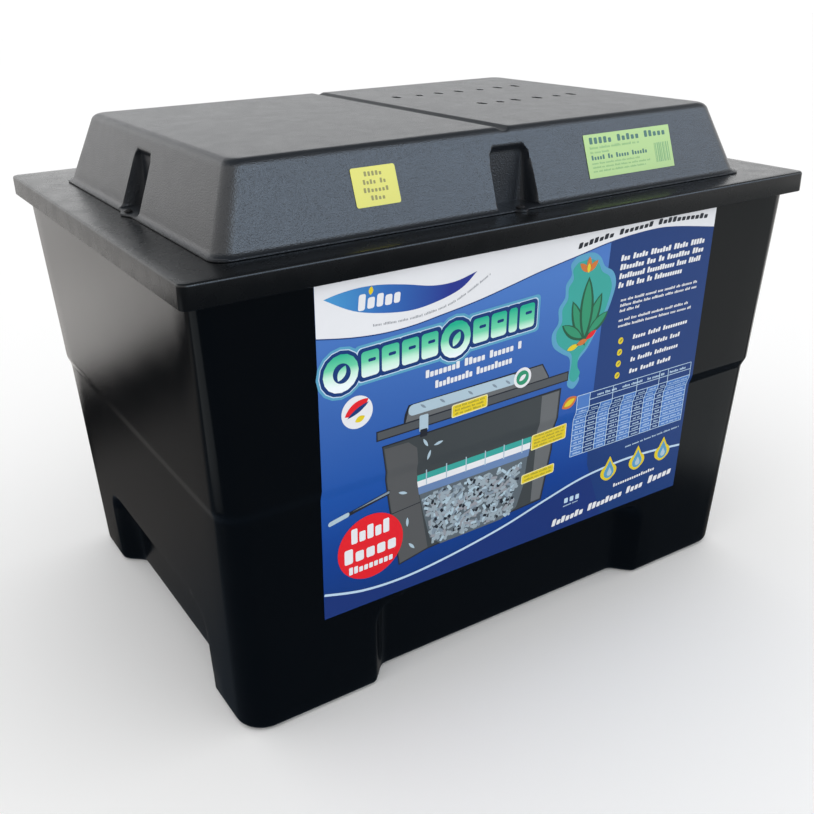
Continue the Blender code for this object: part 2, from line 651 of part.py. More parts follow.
# ---------------------------------------------------------------- UV clarifier on the lid
def make_uv_housing():
    radius, hollow = UV_RADIUS, UV_RADIUS - UV_WALL
    thread = UV_RADIUS + 0.0015
    outside = [(radius * sin(a * pi / 8), UV_LEFT + 0.010 - 0.010 * cos(a * pi / 8)) for a in range(5)]
    outside += [(radius, UV_RIGHT - 0.024), (thread, UV_RIGHT - 0.024), (thread, UV_RIGHT)]
    inside = [(hollow, UV_RIGHT), (hollow, UV_LEFT + 0.012), (0, UV_LEFT + 0.004)]
    profile = list(reversed(outside + inside))
    housing = turned("uv_housing", profile, PARTS, False, 28, parent=UV_FRAME, rotation=ALONG_X)
    start = 0.0250
    ports = (("spout", SPOUT_RADIUS, UV_Z - SPOUT_LOW_Z, SPOUT_X, (pi, 0, 0)),
             ("inlet", INLET_RADIUS, INLET_END, INLET_X, ALONG_Y))
    for name, size, end, x, turn in ports:
        tool = cylinder_mesh(size, start, end, 24)
        boolean(housing, add_object(name + "_port", tool, CUTTERS, UV_FRAME, (x, 0, 0), turn), "UNION")
    seat = UV_Z - COVER_BASE_Z - 0.0030
    collars = (("spout_flange", 0.0295, seat - 0.0045, seat, SPOUT_X, (pi, 0, 0)),
               ("inlet_thread", INLET_RADIUS + 0.0015, INLET_END - 0.018, INLET_END, INLET_X, ALONG_Y))
    for name, size, low, high, x, turn in collars:
        tool = cylinder_mesh(size, low, high, 24)
        boolean(housing, add_object(name, tool, CUTTERS, UV_FRAME, (x, 0, 0), turn), "UNION")
    for name, size, end, x, turn in ports:
        bore(housing, name + "_bore", size - 0.0030, 0.018, end + 0.01, 24, parent=UV_FRAME,
             location=(x, 0, 0), rotation=turn)
    finish(housing, "white_pvc")


def make_uv_parts():
    sleeve_radius, sleeve_wall, sleeve_left, sleeve_right = 0.0185, 0.0015, -0.2100, 0.2000
    turns = [step * pi / 8 for step in range(5)]
    outer = [(sleeve_radius * sin(a), sleeve_left + 0.010 - 0.010 * cos(a)) for a in turns]
    inner = [(sleeve_radius - sleeve_wall, sleeve_right), (sleeve_radius - sleeve_wall, sleeve_left + 0.010),
             (0, sleeve_left + 0.0025)]
    profile = list(reversed(outer + [(sleeve_radius, sleeve_right)] + inner))
    sleeve = turned("quartz_sleeve", profile, PARTS, False, 20, parent=UV_FRAME, rotation=ALONG_X)
    finish(sleeve, "quartz")
    seal = [(UV_RADIUS - UV_WALL - GAP, 0.182), (UV_RADIUS - UV_WALL - GAP, 0.172),
            (sleeve_radius + GAP, 0.172), (sleeve_radius + GAP, 0.182)]
    finish(turned("sleeve_seal", seal, PARTS, True, 20, parent=UV_FRAME, rotation=ALONG_X), "seal_rubber")

    lamp_left, lamp_right, tube, apart = -0.1950, 0.1500, 0.0065, 0.0080
    lamp = add_object("uv_lamp", cylinder_mesh(tube, lamp_left, lamp_right, 12), PARTS, UV_FRAME,
                      (0, 0, apart), ALONG_X)
    second = add_object("lamp_second_tube", cylinder_mesh(tube, lamp_left, lamp_right, 12), CUTTERS, UV_FRAME,
                        (0, 0, -apart), ALONG_X)
    bridge = add_object("lamp_bridge", cylinder_mesh(0.0035, -apart, apart, 10), CUTTERS, UV_FRAME,
                        (lamp_left + 0.012, 0, 0))
    boolean(lamp, second, "UNION")
    boolean(lamp, bridge, "UNION")
    finish(lamp, "lamp_glass")
    base = [(0, 0.2080), (0.0155, 0.2080), (0.0155, lamp_right + GAP), (0, lamp_right + GAP)]
    finish(turned("lamp_base", base, PARTS, False, 16, parent=UV_FRAME, rotation=ALONG_X), "white_pvc")

    thread, outer_radius = UV_RADIUS + 0.0015, 0.0345
    collar = [(outer_radius, UV_RIGHT + 0.0035), (outer_radius, UV_RIGHT - 0.0220),
              (thread + 0.0006, UV_RIGHT - 0.0220), (thread + 0.0006, UV_RIGHT + 0.0035)]
    finish(turned("lock_collar", collar, PARTS, True, 24, parent=UV_FRAME, rotation=ALONG_X), "black_fitting")


def make_uv_head():
    """Electrical box at the lamp end, with its ballast, lid, screws and cable gland."""
    wall = 0.0025
    head = add_object("head_box", box_mesh(HEAD_LOW, HEAD_HIGH, 0.0015), PARTS, SERVICE)
    spigot = cylinder_mesh(UV_RADIUS + 0.0010, UV_RIGHT + 0.0010, HEAD_LOW[0] + 0.002, 24)
    boolean(head, add_object("head_spigot", spigot, CUTTERS, UV_FRAME, (0, 0, 0), ALONG_X), "UNION")
    low = [value + wall for value in HEAD_LOW]
    high = [HEAD_HIGH[0] - wall, HEAD_HIGH[1] - wall, HEAD_HIGH[2] + 0.01]
    boolean(head, add_object("head_hollow", box_mesh(low, high), CUTTERS, SERVICE))
    for number, (x, y) in enumerate(HEAD_POSTS):
        post = cylinder_mesh(0.0070, HEAD_LOW[2] + 0.001, HEAD_HIGH[2], 12)
        boolean(head, add_object(f"head_post_{number}", post, CUTTERS, SERVICE, (x, y, 0)), "UNION")
        bore(head, f"head_post_hole_{number}", 0.0018, HEAD_HIGH[2] - 0.014, HEAD_HIGH[2] + 0.01, 10,
             parent=SERVICE, location=(x, y, 0))
    bore(head, "sleeve_hole", 0.0190, UV_RIGHT - 0.01, HEAD_LOW[0] + 0.01, 24,
         parent=UV_FRAME, rotation=ALONG_X)
    gland_x, gland_z = 0.2450, LID_TOP_Z + 0.0287
    place = {"parent": SERVICE, "location": (gland_x, 0, gland_z), "rotation": ALONG_Y}
    bore(head, "gland_hole", 0.0079, 0.07, 0.10, 16, **place)
    finish(head, "grey_plastic")

    lid_low = HEAD_HIGH[2] + GAP
    plate = box_mesh((*HEAD_LOW[:2], lid_low), (*HEAD_HIGH[:2], lid_low + 0.003), 0.0010)
    lid = add_object("head_lid", plate, PARTS, SERVICE)
    profile = [(0, 0.0016), (0.0016, 0.0014), (0.0030, 0.0005), (0.0030, 0), (0.0015, 0), (0.0015, -0.0100),
               (0, -0.0110)]
    for number, (x, y) in enumerate(HEAD_POSTS):
        bore(lid, f"head_lid_hole_{number}", 0.0018, lid_low - 0.01, lid_low + 0.01, 10, parent=SERVICE,
             location=(x, y, 0))
        screw = turned(f"head_screw_{number + 1}", profile, PARTS, False, 10, parent=SERVICE,
                       location=(x, y, lid_low + 0.003 + GAP))
        finish(screw, "zinc")
    finish(lid, "grey_plastic")
    ballast = box_mesh((0.2200, -0.062, HEAD_LOW[2] + wall + GAP), (0.2680, 0.062, LID_TOP_Z + 0.0397), 0.002)
    finish(add_object("ballast", ballast, PARTS, SERVICE), "white_pvc", smooth=False)

    wall_y = HEAD_HIGH[1]
    gland = [(0.0074, wall_y + 0.012), (0.0074, wall_y + 0.004), (0.0105, wall_y + 0.004),
             (0.0105, wall_y + GAP), (0.0074, wall_y + GAP), (0.0074, wall_y - 0.008),
             (0.0045, wall_y - 0.008), (0.0045, wall_y + 0.012)]
    finish(turned("mains_gland", gland, PARTS, True, 12, **place), "black_fitting")
    nut = [(0.0070, wall_y + 0.018), (0.0100, wall_y + 0.015), (0.0100, wall_y + 0.005),
           (0.0077, wall_y + 0.005), (0.0077, wall_y + 0.0123), (0.0050, wall_y + 0.0135),
           (0.0050, wall_y + 0.018)]
    finish(turned("mains_gland_nut", nut, PARTS, True, 12, **place), "black_fitting")


def make_saddles():
    """Two open pipe clips that hold the housing on the lid, each with two screws."""
    base = LID_TOP_Z + GAP
    number = 0
    profile = [(0, 0.0026), (0.0028, 0.0022), (0.0040, 0.0008), (0.0040, 0), (0.0020, 0), (0.0020, -0.0110),
               (0, -0.0125)]
    for index, x in enumerate(SADDLE_X):
        foot = box_mesh((x - 0.010, -0.054, base), (x + 0.010, 0.054, base + 0.004), 0.001)
        saddle = add_object("saddle_left" if index == 0 else "saddle_right", foot, PARTS, SERVICE)
        block = box_mesh((x - 0.009, -0.035, base + 0.001), (x + 0.009, 0.035, UV_Z + 0.014))
        boolean(saddle, add_object(f"saddle_block_{index}", block, CUTTERS, SERVICE), "UNION")
        bore(saddle, f"saddle_seat_{index}", UV_RADIUS + GAP * 2, x - 0.02, x + 0.02, 28,
             parent=SERVICE, location=(0, 0, UV_Z), rotation=ALONG_X)
        for side in (-1, 1):
            y = side * SADDLE_SCREW_Y
            bore(saddle, f"saddle_screw_hole_{index}_{side}", 0.0023, base - 0.01, base + 0.01, 12,
                 parent=SERVICE, location=(x, y, 0))
            number += 1
            screw = turned(f"saddle_screw_{number}", profile, PARTS, False, 10, parent=SERVICE,
                           location=(x, y, base + 0.004 + GAP))
            finish(screw, "zinc")
        finish(saddle, "grey_plastic")


def make_spout_fixings():
    place = {"parent": SERVICE, "location": (SPOUT_X, 0, 0)}
    low = LID_TOP_Z + GAP
    gasket = [(0.0290, low + 0.0027), (0.0290, low), (SPOUT_RADIUS + 0.0010, low),
              (SPOUT_RADIUS + 0.0010, low + 0.0027)]
    finish(turned("spout_gasket", gasket, PARTS, True, **place), "seal_rubber")
    top = LID_TOP_Z - LID_WALL - GAP
    nut = nut_mesh(SPOUT_RADIUS + 0.0005, 0.0290, top - 0.012, top)
    finish(add_object("spout_nut", nut, PARTS, **place), "black_fitting", smooth=False)


# ---------------------------------------------------------------- assembly
def empty(name, parent=None, location=(0, 0, 0), rotation=(0, 0, 0)):
    return add_object(name, None, PARTS, parent, location, rotation)


def outlet_frame():
    """Axis of the outlet: on the back wall's outer face, pointing out square to it."""
    low, high = tank_half_size(WAIST_HIGH_Z)[1], tank_half_size(SKIRT_Z)[1]
    lean = atan2(high - low, SKIRT_Z - WAIST_HIGH_Z)
    y = tank_half_size(OUTLET_Z)[1]
    return empty("outlet_axis", BODY, (OUTLET_X, y, OUTLET_Z), (-pi / 2 - lean, 0, 0))


clear_scene()
PARTS = new_collection(ROOT)
CUTTERS = new_collection("cutters")
BODY = empty(ROOT)
LID_FRAME = empty("lid_frame", BODY)
COVER_FRAME = empty("cover_frame", LID_FRAME, (*COVER_CENTRE, 0))
SERVICE = empty("uv_unit_frame", LID_FRAME, (*COVER_CENTRE, 0))
UV_FRAME = empty("uv_axis", SERVICE, (0, 0, UV_Z))
INLET = empty("inlet_axis", UV_FRAME, (INLET_X, 0, 0), ALONG_Y)
OUTLET = outlet_frame()

make_tank()
make_front_label()
make_partition()
make_media()
make_foam()
make_outlet()
make_lid()
make_cover()
make_cover_screws()
side_sticker("caution_label", "label_yellow", -0.1895, -0.1400, 0.5530, 0.5885)
side_sticker("rating_label", "label_green", 0.1025, 0.2325, 0.5458, 0.5905)
make_uv_housing()
make_uv_parts()
make_uv_head()
make_saddles()
make_spout_fixings()
make_union("inlet", INLET, INLET_RADIUS + 0.0015, 0.0160, 0.0030, INLET_END, 0.300)
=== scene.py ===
"""Visual model of the box pond filter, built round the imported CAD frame.

Metres, +X to the right along the labelled face, the labelled face towards -Y, +Z up.
"""

import json
import random
from math import atan2, cos, hypot, pi, radians, sin, sqrt, tan

import bmesh
import bpy
from mathutils import Matrix, Vector
from mathutils.geometry import tessellate_polygon


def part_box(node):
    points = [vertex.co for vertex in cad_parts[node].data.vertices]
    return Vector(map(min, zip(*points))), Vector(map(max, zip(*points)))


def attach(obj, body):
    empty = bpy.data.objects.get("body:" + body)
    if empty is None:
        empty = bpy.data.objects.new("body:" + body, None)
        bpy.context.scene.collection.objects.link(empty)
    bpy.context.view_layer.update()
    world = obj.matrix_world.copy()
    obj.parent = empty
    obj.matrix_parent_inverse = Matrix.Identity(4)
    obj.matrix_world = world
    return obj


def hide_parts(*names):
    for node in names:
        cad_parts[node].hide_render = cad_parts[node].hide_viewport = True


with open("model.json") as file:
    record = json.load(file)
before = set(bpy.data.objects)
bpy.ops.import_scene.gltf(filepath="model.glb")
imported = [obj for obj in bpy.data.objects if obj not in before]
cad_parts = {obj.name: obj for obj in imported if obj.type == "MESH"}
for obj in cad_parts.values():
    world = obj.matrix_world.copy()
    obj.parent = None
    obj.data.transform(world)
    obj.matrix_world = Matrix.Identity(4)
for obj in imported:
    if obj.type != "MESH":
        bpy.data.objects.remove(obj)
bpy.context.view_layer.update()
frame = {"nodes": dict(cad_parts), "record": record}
NODES = frame["nodes"]
SCENE = bpy.context.scene

GAP = 0.0003                                              # between pieces that rest on each other

# ---------------------------------------------------------------- sizes shared with the CAD
TANK_STATIONS = ((0.0, 0.36585, 0.2616), (0.2738, 0.37375, 0.2771), (0.2853, 0.3773, 0.2814),
                 (0.5029, 0.38515, 0.2906))              # height, half length, half width
WAIST = (0.2738, 0.2853)
LID_LOW, LID_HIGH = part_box("lid_plate")
SKIRT_Z, LID_TOP = LID_LOW.z, LID_HIGH.z
LID_HALF = (LID_HIGH.x, LID_HIGH.y)
LID_THICK = 0.004
COVER_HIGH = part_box("cover")[1]
COVER_CENTRE = Vector((-0.008, -0.02, 0.0))
COVER_HALF = (0.3389, 0.2372)
COVER_BASE = LID_TOP + GAP
COVER_RISE = COVER_HIGH.z - COVER_BASE
COVER_INSET = (0.03115, 0.02885)                          # lean of the end and side walls over the rise
UV_Z = LID_TOP + 0.0365


# ---------------------------------------------------------------- helpers
def smooth(value, low, high):
    """0 below low, 1 above high, and an S curve between."""
    share = min(max((value - low) / (high - low), 0.0), 1.0)
    return share * share * (3 - 2 * share)


def soft_min(a, b, width):
    """The smaller of two values, with the corner between them rounded over a width."""
    share = max(width - abs(a - b), 0.0) / width
    return min(a, b) - share * share * width / 4


def add(name, mesh, *materials):
    """A new object in the scene."""
    obj = bpy.data.objects.new(name, mesh)
    SCENE.collection.objects.link(obj)
    for material in materials:
        obj.data.materials.append(material)
    return obj


def mesh_of(build):
    """The mesh that a function builds in a bmesh."""
    working = bmesh.new()
    build(working)
    mesh = bpy.data.meshes.new("shape")
    working.to_mesh(mesh)
    working.free()
    return mesh


def settle(obj, angle=None):
    """Apply the modifiers, shade smooth and mark the edges sharper than the angle."""
    depsgraph = bpy.context.evaluated_depsgraph_get()
    mesh = bpy.data.meshes.new_from_object(obj.evaluated_get(depsgraph))
    obj.modifiers.clear()
    obj.data = mesh
    mesh.shade_smooth()
    if angle:
        mesh.set_sharp_from_angle(angle=radians(angle))
    return obj


def stand_in(obj, name, body):
    """Put a detailed piece in place of a CAD node and on its body."""
    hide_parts(name)
    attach(obj, body)


def cut(obj, mesh):
    """Take a closed mesh out of an object."""
    tool = add(obj.name + "_tool", mesh)
    modifier = obj.modifiers.new("Cut", "BOOLEAN")
    modifier.operation = "DIFFERENCE"
    modifier.solver = "EXACT"
    modifier.object = tool
    settle(obj)
    bpy.data.objects.remove(tool)


def cylinder(radius, start, end, sides=48):
    """A closed cylinder from one point to another."""
    start, end = Vector(start), Vector(end)

    def build(working):
        turn = (end - start).to_track_quat("Z", "Y").to_matrix().to_4x4()
        place = Matrix.Translation((start + end) / 2) @ turn
        bmesh.ops.create_cone(working, cap_ends=True, segments=sides, radius1=radius, radius2=radius,
                              depth=(end - start).length, matrix=place)
    return mesh_of(build)


def box(low, high):
    """A closed box between two corners."""
    def build(working):
        size = Matrix.Diagonal((*[b - a for a, b in zip(low, high)], 1.0))
        middle = Matrix.Translation([(a + b) / 2 for a, b in zip(low, high)])
        bmesh.ops.create_cube(working, size=1.0, matrix=middle @ size)
    return mesh_of(build)


def points_of(working, rings):
    """The vertices of several rings of points."""
    return [[working.verts.new(point) for point in ring] for ring in rings]


def bridge(working, loops):
    """Faces between each loop of vertices and the next."""
    for lower, upper in zip(loops, loops[1:]):
        for index in range(len(lower)):
            after = (index + 1) % len(lower)
            working.faces.new((lower[index], lower[after], upper[after], upper[index]))


def loft(rings):
    """A closed skin over rings that run anticlockwise seen from above, lowest first."""
    def build(working):
        loops = points_of(working, rings)
        bridge(working, loops)
        working.faces.new(loops[0][::-1])
        working.faces.new(loops[-1])
    return mesh_of(build)


# ---------------------------------------------------------------- materials
def shader_node(material, kind, **values):
    """A new shader node with some of its inputs set; _ in a name stands for a space."""
    made = material.node_tree.nodes.new("ShaderNode" + kind)
    for name, value in values.items():
        made.inputs[name.replace("_", " ")].default_value = value
    return made


def blend_colours(material, share, first, second):
    """A colour that runs from the first to the second as a socket goes from 0 to 1."""
    mix = shader_node(material, "Mix")
    mix.data_type = "RGBA"
    mix.inputs["A"].default_value = (*first, 1)
    mix.inputs["B"].default_value = (*second, 1)
    material.node_tree.links.new(share, mix.inputs["Factor"])
    return mix.outputs["Result"]


def plastic(name, colour, roughness, ior=1.45, bumps=(), tint=None, specks=None):
    """Moulded plastic. bumps are (scale, depth in metres, detail) layers of noise over the surface;
    tint is a second colour that drifts in over broad patches; specks roughen it over fine ones."""
    material = bpy.data.materials.new(name)
    material.use_nodes = True
    link = material.node_tree.links.new
    shader = material.node_tree.nodes["Principled BSDF"]
    shader.inputs["Base Color"].default_value = (*colour, 1)
    shader.inputs["Roughness"].default_value = roughness
    shader.inputs["IOR"].default_value = ior
    place = shader_node(material, "TexCoord").outputs["Object"]

    def noise(scale, detail):
        texture = shader_node(material, "TexNoise", Scale=scale, Detail=detail)
        link(place, texture.inputs["Vector"])
        return texture.outputs["Fac"]
    if tint:
        link(blend_colours(material, noise(9.0, 3.0), colour, tint), shader.inputs["Base Color"])
    if specks:
        scale, change = specks
        scatter = shader_node(material, "MapRange", From_Min=0.3, From_Max=0.7,
                              To_Min=roughness - change, To_Max=roughness + change)
        link(noise(scale, 4.0), scatter.inputs["Value"])
        link(scatter.outputs["Result"], shader.inputs["Roughness"])
    previous = None
    for scale, depth, detail in bumps:
        bump = shader_node(material, "Bump", Strength=1.0, Distance=depth)
        link(noise(scale, detail), bump.inputs["Height"])
        if previous:
            link(previous, bump.inputs["Normal"])
        previous = bump.outputs["Normal"]
    if previous:
        link(previous, shader.inputs["Normal"])
    return material


def colour_ramp(material, share, stops):
    """A colour read from (position, (red, green, blue)) stops by a socket."""
    ramp = shader_node(material, "ValToRGB")
    elements = ramp.color_ramp.elements
    for element, (position, colour) in zip(elements, (stops[0], stops[-1])):
        element.position, element.color = position, (*colour, 1)
    for position, colour in stops[1:-1]:
        elements.new(position).color = (*colour, 1)
    material.node_tree.links.new(share, ramp.inputs["Fac"])
    return ramp.outputs["Color"]


def distance_along(material, place, direction, offset):
    """A socket with how far a place lies along a direction, plus an offset."""
    dot = shader_node(material, "VectorMath")
    dot.operation = "DOT_PRODUCT"
    dot.inputs[1].default_value = direction
    material.node_tree.links.new(place, dot.inputs[0])
    shift = shader_node(material, "Math")
    shift.operation = "ADD"
    shift.inputs[1].default_value = offset
    material.node_tree.links.new(dot.outputs["Value"], shift.inputs[0])
    return shift.outputs["Value"]


def graded(name, start, end, stops):
    """Printed vinyl whose colour runs along a line; stops are (share of the way, colour)."""
    material = plastic(name, stops[0][1], 0.24)
    nodes = material.node_tree.nodes
    start, end = Vector(start), Vector(end)
    run = (end - start) / (end - start).length_squared
    share = distance_along(material, nodes["Texture Coordinate"].outputs["Object"], run, -start.dot(run))
    colour = colour_ramp(material, share, stops)
    material.node_tree.links.new(colour, nodes["Principled BSDF"].inputs["Base Color"])
    return material


def ink(name, colour):
    """Printed vinyl with the faint mottle of a solid print."""
    faded = tuple(channel * 0.86 for channel in colour)
    return plastic(name, colour, 0.24, 1.45, bumps=((260.0, 0.00001, 2.0),), tint=faded)


SHELL = plastic("tank_black", (0.0006, 0.001, 0.0016), 0.105, 1.45,
                bumps=((4.0, 0.001, 0.0), (900.0, 0.00006, 2.0)), specks=(24.0, 0.02))
LID_BLACK = plastic("lid_black", (0.001, 0.0015, 0.0022), 0.27, 1.45,
                    bumps=((5.0, 0.0004, 0.0), (900.0, 0.0001, 2.0)), specks=(40.0, 0.03))
GRAINED = plastic("cover_grain", (0.008, 0.01, 0.0135), 0.32, 1.58,
                  bumps=((6.0, 0.0002, 0.0), (820.0, 0.00042, 1.0)), specks=(60.0, 0.02))
FITTING = plastic("fitting_black", (0.01, 0.01, 0.011), 0.36, 1.45, bumps=((700.0, 0.0001, 2.0),))
LABEL_BLUE = graded("label_blue", (0, 0, 0.13), (0, 0, 0.46),
                    ((0.0, (0.005, 0.036, 0.19)), (0.22, (0.003, 0.046, 0.27)), (0.42, (0.008, 0.076, 0.36)),
                     (0.7, (0.034, 0.12, 0.42)), (1.0, (0.062, 0.18, 0.52))))
CREST_INK = graded("crest_ink", (-0.255, 0, 0.488), (-0.12, 0, 0.462),
                   ((0.0, (0.06, 0.3, 0.62)), (0.45, (0.03, 0.14, 0.46)), (1.0, (0.02, 0.035, 0.26))))
TITLE_INK = graded("title_ink", (-0.13, 0, 0.433), (-0.1295, 0, 0.395),
                   ((0.05, (0.01, 0.42, 0.26)), (0.45, (0.14, 0.62, 0.38)), (0.65, (0.55, 0.84, 0.7)),
                    (0.95, (0.82, 0.9, 0.93))))
NAVY = ink("navy_ink", (0.01, 0.044, 0.19))
DEEP_INK = ink("deep_blue_ink", (0.01, 0.034, 0.185))
WHITE_INK = ink("white_ink", (0.8, 0.82, 0.86))
PALE_INK = ink("pale_blue_ink", (0.52, 0.7, 0.88))
HALO_INK = ink("halo_ink", (0.1, 0.36, 0.56))
TABLE_INK = ink("table_ink", (0.07, 0.2, 0.56))
GREY_INK = ink("grey_ink", (0.3, 0.32, 0.36))
BLACK_INK = ink("black_ink", (0.02, 0.024, 0.034))
RED_INK = ink("red_ink", (0.78, 0.012, 0.022))
YELLOW_INK = ink("yellow_ink", (0.76, 0.6, 0.02))
CREAM_INK = ink("cream_ink", (0.86, 0.82, 0.42))
OLIVE_INK = ink("olive_ink", (0.26, 0.24, 0.03))
ORANGE_INK = ink("orange_ink", (0.62, 0.18, 0.04))
GREEN_INK = ink("green_ink", (0.03, 0.3, 0.16))
DARK_GREEN_INK = ink("dark_green_ink", (0.02, 0.11, 0.06))
MOSS_INK = ink("moss_ink", (0.2, 0.4, 0.12))
TEAL_INK = ink("teal_ink", (0.04, 0.38, 0.34))
WATER_INK = ink("water_ink", (0.1, 0.34, 0.56))
GLASS_INK = ink("glass_ink", (0.42, 0.56, 0.66))
STEEL_INK = ink("steel_ink", (0.22, 0.29, 0.36))
TUBE_INK = ink("tube_ink", (0.32, 0.4, 0.46))
MEDIA_INK = ink("media_ink", (0.11, 0.14, 0.165))
DOME_INK = ink("dome_ink", (0.14, 0.15, 0.16))
LID_INK = ink("lid_ink", (0.085, 0.095, 0.105))
TANK_INK = ink("tank_ink", (0.052, 0.062, 0.068))
RISER_INK = ink("riser_ink", (0.095, 0.1, 0.105))
PAD_INK = ink("pad_ink", (0.14, 0.24, 0.46))
YELLOW_PAPER = ink("yellow_paper", (0.74, 0.71, 0.105))
GREEN_PAPER = ink("green_paper", (0.42, 0.62, 0.2))


# ---------------------------------------------------------------- walls sampled round a rounded box
def spread(limit, windows, fine, coarse):
    """Places from -limit to limit, close together inside the windows of distance from the middle."""
    places = [0.0]
    while places[-1] < limit:
        step = fine if any(low <= places[-1] < high for low, high in windows) else coarse
        places.append(places[-1] + step)
    places = [place * limit / places[-1] for place in places]
    return [-place for place in reversed(places[1:])] + places


class Ring:
    """Samples round a rounded rectangle, anticlockwise from the front left, each with its wall and normal."""

    def __init__(self, along_x, along_y, corner_steps):
        self.along_x, self.along_y, self.corner_steps = along_x, along_y, corner_steps

    def samples(self, half_x, half_y, corner):
        straight_x, straight_y = half_x - corner, half_y - corner
        walls = (("front", self.along_x, straight_x, (0, -1), (1, 0), half_y),
                 ("right", self.along_y, straight_y, (1, 0), (0, 1), half_x),
                 ("back", self.along_x, straight_x, (0, 1), (-1, 0), half_y),
                 ("left", self.along_y, straight_y, (-1, 0), (0, -1), half_x))
        turns = ((straight_x, -straight_y), (straight_x, straight_y), (-straight_x, straight_y),
                 (-straight_x, -straight_y))
        found = []
        for number, (wall, places, straight, normal, run, out) in enumerate(walls):
            for place in places:
                s = place * straight / places[-1]
                found.append((Vector((normal[0] * out + run[0] * s, normal[1] * out + run[1] * s)),
                              Vector(normal), wall, s * (run[0] + run[1])))
            for step in range(1, self.corner_steps):
                angle = pi * (number - 1) / 2 + pi / 2 * step / self.corner_steps
                outward = Vector((cos(angle), sin(angle)))
                found.append((Vector(turns[number]) + outward * corner, outward, "corner", 0.0))
        return found


# ---------------------------------------------------------------- tank
RECESS_TOP, RECESS_DEPTH, RECESS_SPLAY, RECESS_CORNER = 0.115, 0.024, 0.021, 0.03
RECESS_MOUTH = {"front": 0.205, "back": 0.205, "left": 0.168, "right": 0.168}
TANK_WALL = 0.0045
FOOT_ROUND = 0.009
OUTLET_HOLE, SCREW_HOLE, SPOUT_HOLE = 0.027, 0.0031, 0.02  # radius


def tank_half(z):
    """Half length and half width of the tank's outside at a height, the step's edges softened."""
    soften = 0.0025

    def plain(height):
        for (z0, x0, y0), (z1, x1, y1) in zip(TANK_STATIONS, TANK_STATIONS[1:]):
            if height <= z1 or z1 == TANK_STATIONS[-1][0]:
                share = (height - z0) / (z1 - z0)
                return Vector((x0 + (x1 - x0) * share, y0 + (y1 - y0) * share))
    return (plain(z - soften) + plain(z) * 2 + plain(z + soften)) / 4


def recess_depth(wall, along, z):
    """How far a hollow between two feet goes into a wall at a place on it."""
    mouth = RECESS_MOUTH.get(wall)
    if mouth is None or z > RECESS_TOP + 0.004:
        return 0.0
    below = RECESS_TOP - z
    if below < RECESS_CORNER:
        rise = min(RECESS_CORNER - below, RECESS_CORNER)
        mouth = mouth - RECESS_CORNER + sqrt(RECESS_CORNER ** 2 - rise ** 2)
    inside = (mouth - abs(along)) * RECESS_DEPTH / RECESS_SPLAY
    if inside < -0.004:
        return 0.0
    eased = (inside + sqrt(inside * inside + 0.003 ** 2)) / 2 - 0.0008
    depth = soft_min(max(eased, 0.0), RECESS_DEPTH, 0.008)
    return depth * smooth(below, -0.003, 0.005)


TANK_RING = Ring(spread(0.332, ((0.165, 0.222),), 0.003, 0.034),
                 spread(0.228, ((0.128, 0.185),), 0.003, 0.032), 12)


def tank_corner(z):
    """Radius of the tank's upright corners at a height."""
    return 0.034 + (0.028 - 0.034) * min(z / WAIST[0], 1.0) - 0.006 * smooth(z, WAIST[1], SKIRT_Z)


def tank_ring(z, inset):
    """Points round the tank at a height, an inset inside its outside."""
    half = tank_half(z)
    corner = max(tank_corner(z) - inset, 0.006)
    points = []
    for point, outward, wall, along in TANK_RING.samples(half.x - inset, half.y - inset, corner):
        point = point - outward * recess_depth(wall, along, z)
        points.append(Vector((point.x, point.y, z)))
    return points


def foot_inset(z, radius):
    """How far the rounding under the walls draws them in."""
    return radius - sqrt(max(radius * radius - (radius - z) ** 2, 0.0)) if z < radius else 0.0


def make_tank():
    turns = [FOOT_ROUND * (1 - cos(pi / 2 * step / 6)) for step in range(7)]
    levels = turns + [0.02, 0.045, 0.07, 0.082]
    levels += [0.0845 + 0.0022 * step for step in range(16)] + [0.124, 0.14, 0.17, 0.2, 0.235, 0.262]
    levels += [0.268 + 0.002 * step for step in range(13)] + [0.31, 0.35, 0.4, 0.45, 0.49]
    top = LID_TOP - LID_THICK - GAP
    under = top - 0.0042
    rings = [tank_ring(z, foot_inset(z, FOOT_ROUND)) for z in levels] + [tank_ring(under, 0.0)]
    for out, z in ((0.0055, under), (0.0055, top - 0.001), (0.0065, top)):
        samples = TANK_RING.samples(LID_HALF[0] - out, LID_HALF[1] - out, 0.01)
        rings.append([Vector((point.x, point.y, z)) for point, _, _, _ in samples])
    inner = [z for z in reversed(levels) if z > TANK_WALL + 0.006]
    rings.append(tank_ring(top, TANK_WALL))
    rings += [tank_ring(z, TANK_WALL) for z in inner]
    rings += [tank_ring(TANK_WALL + 0.002, TANK_WALL + 0.002), tank_ring(TANK_WALL, TANK_WALL + 0.006)]
    tank = add("tank_shell", loft(rings), SHELL)
    low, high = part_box("outlet_connector")
    middle = (low + high) / 2
    cut(tank, cylinder(OUTLET_HOLE, (middle.x, 0.24, 0.3934), (middle.x, 0.33, 0.3896)))
    settle(tank, 40)
    stand_in(tank, "tank", "tank")


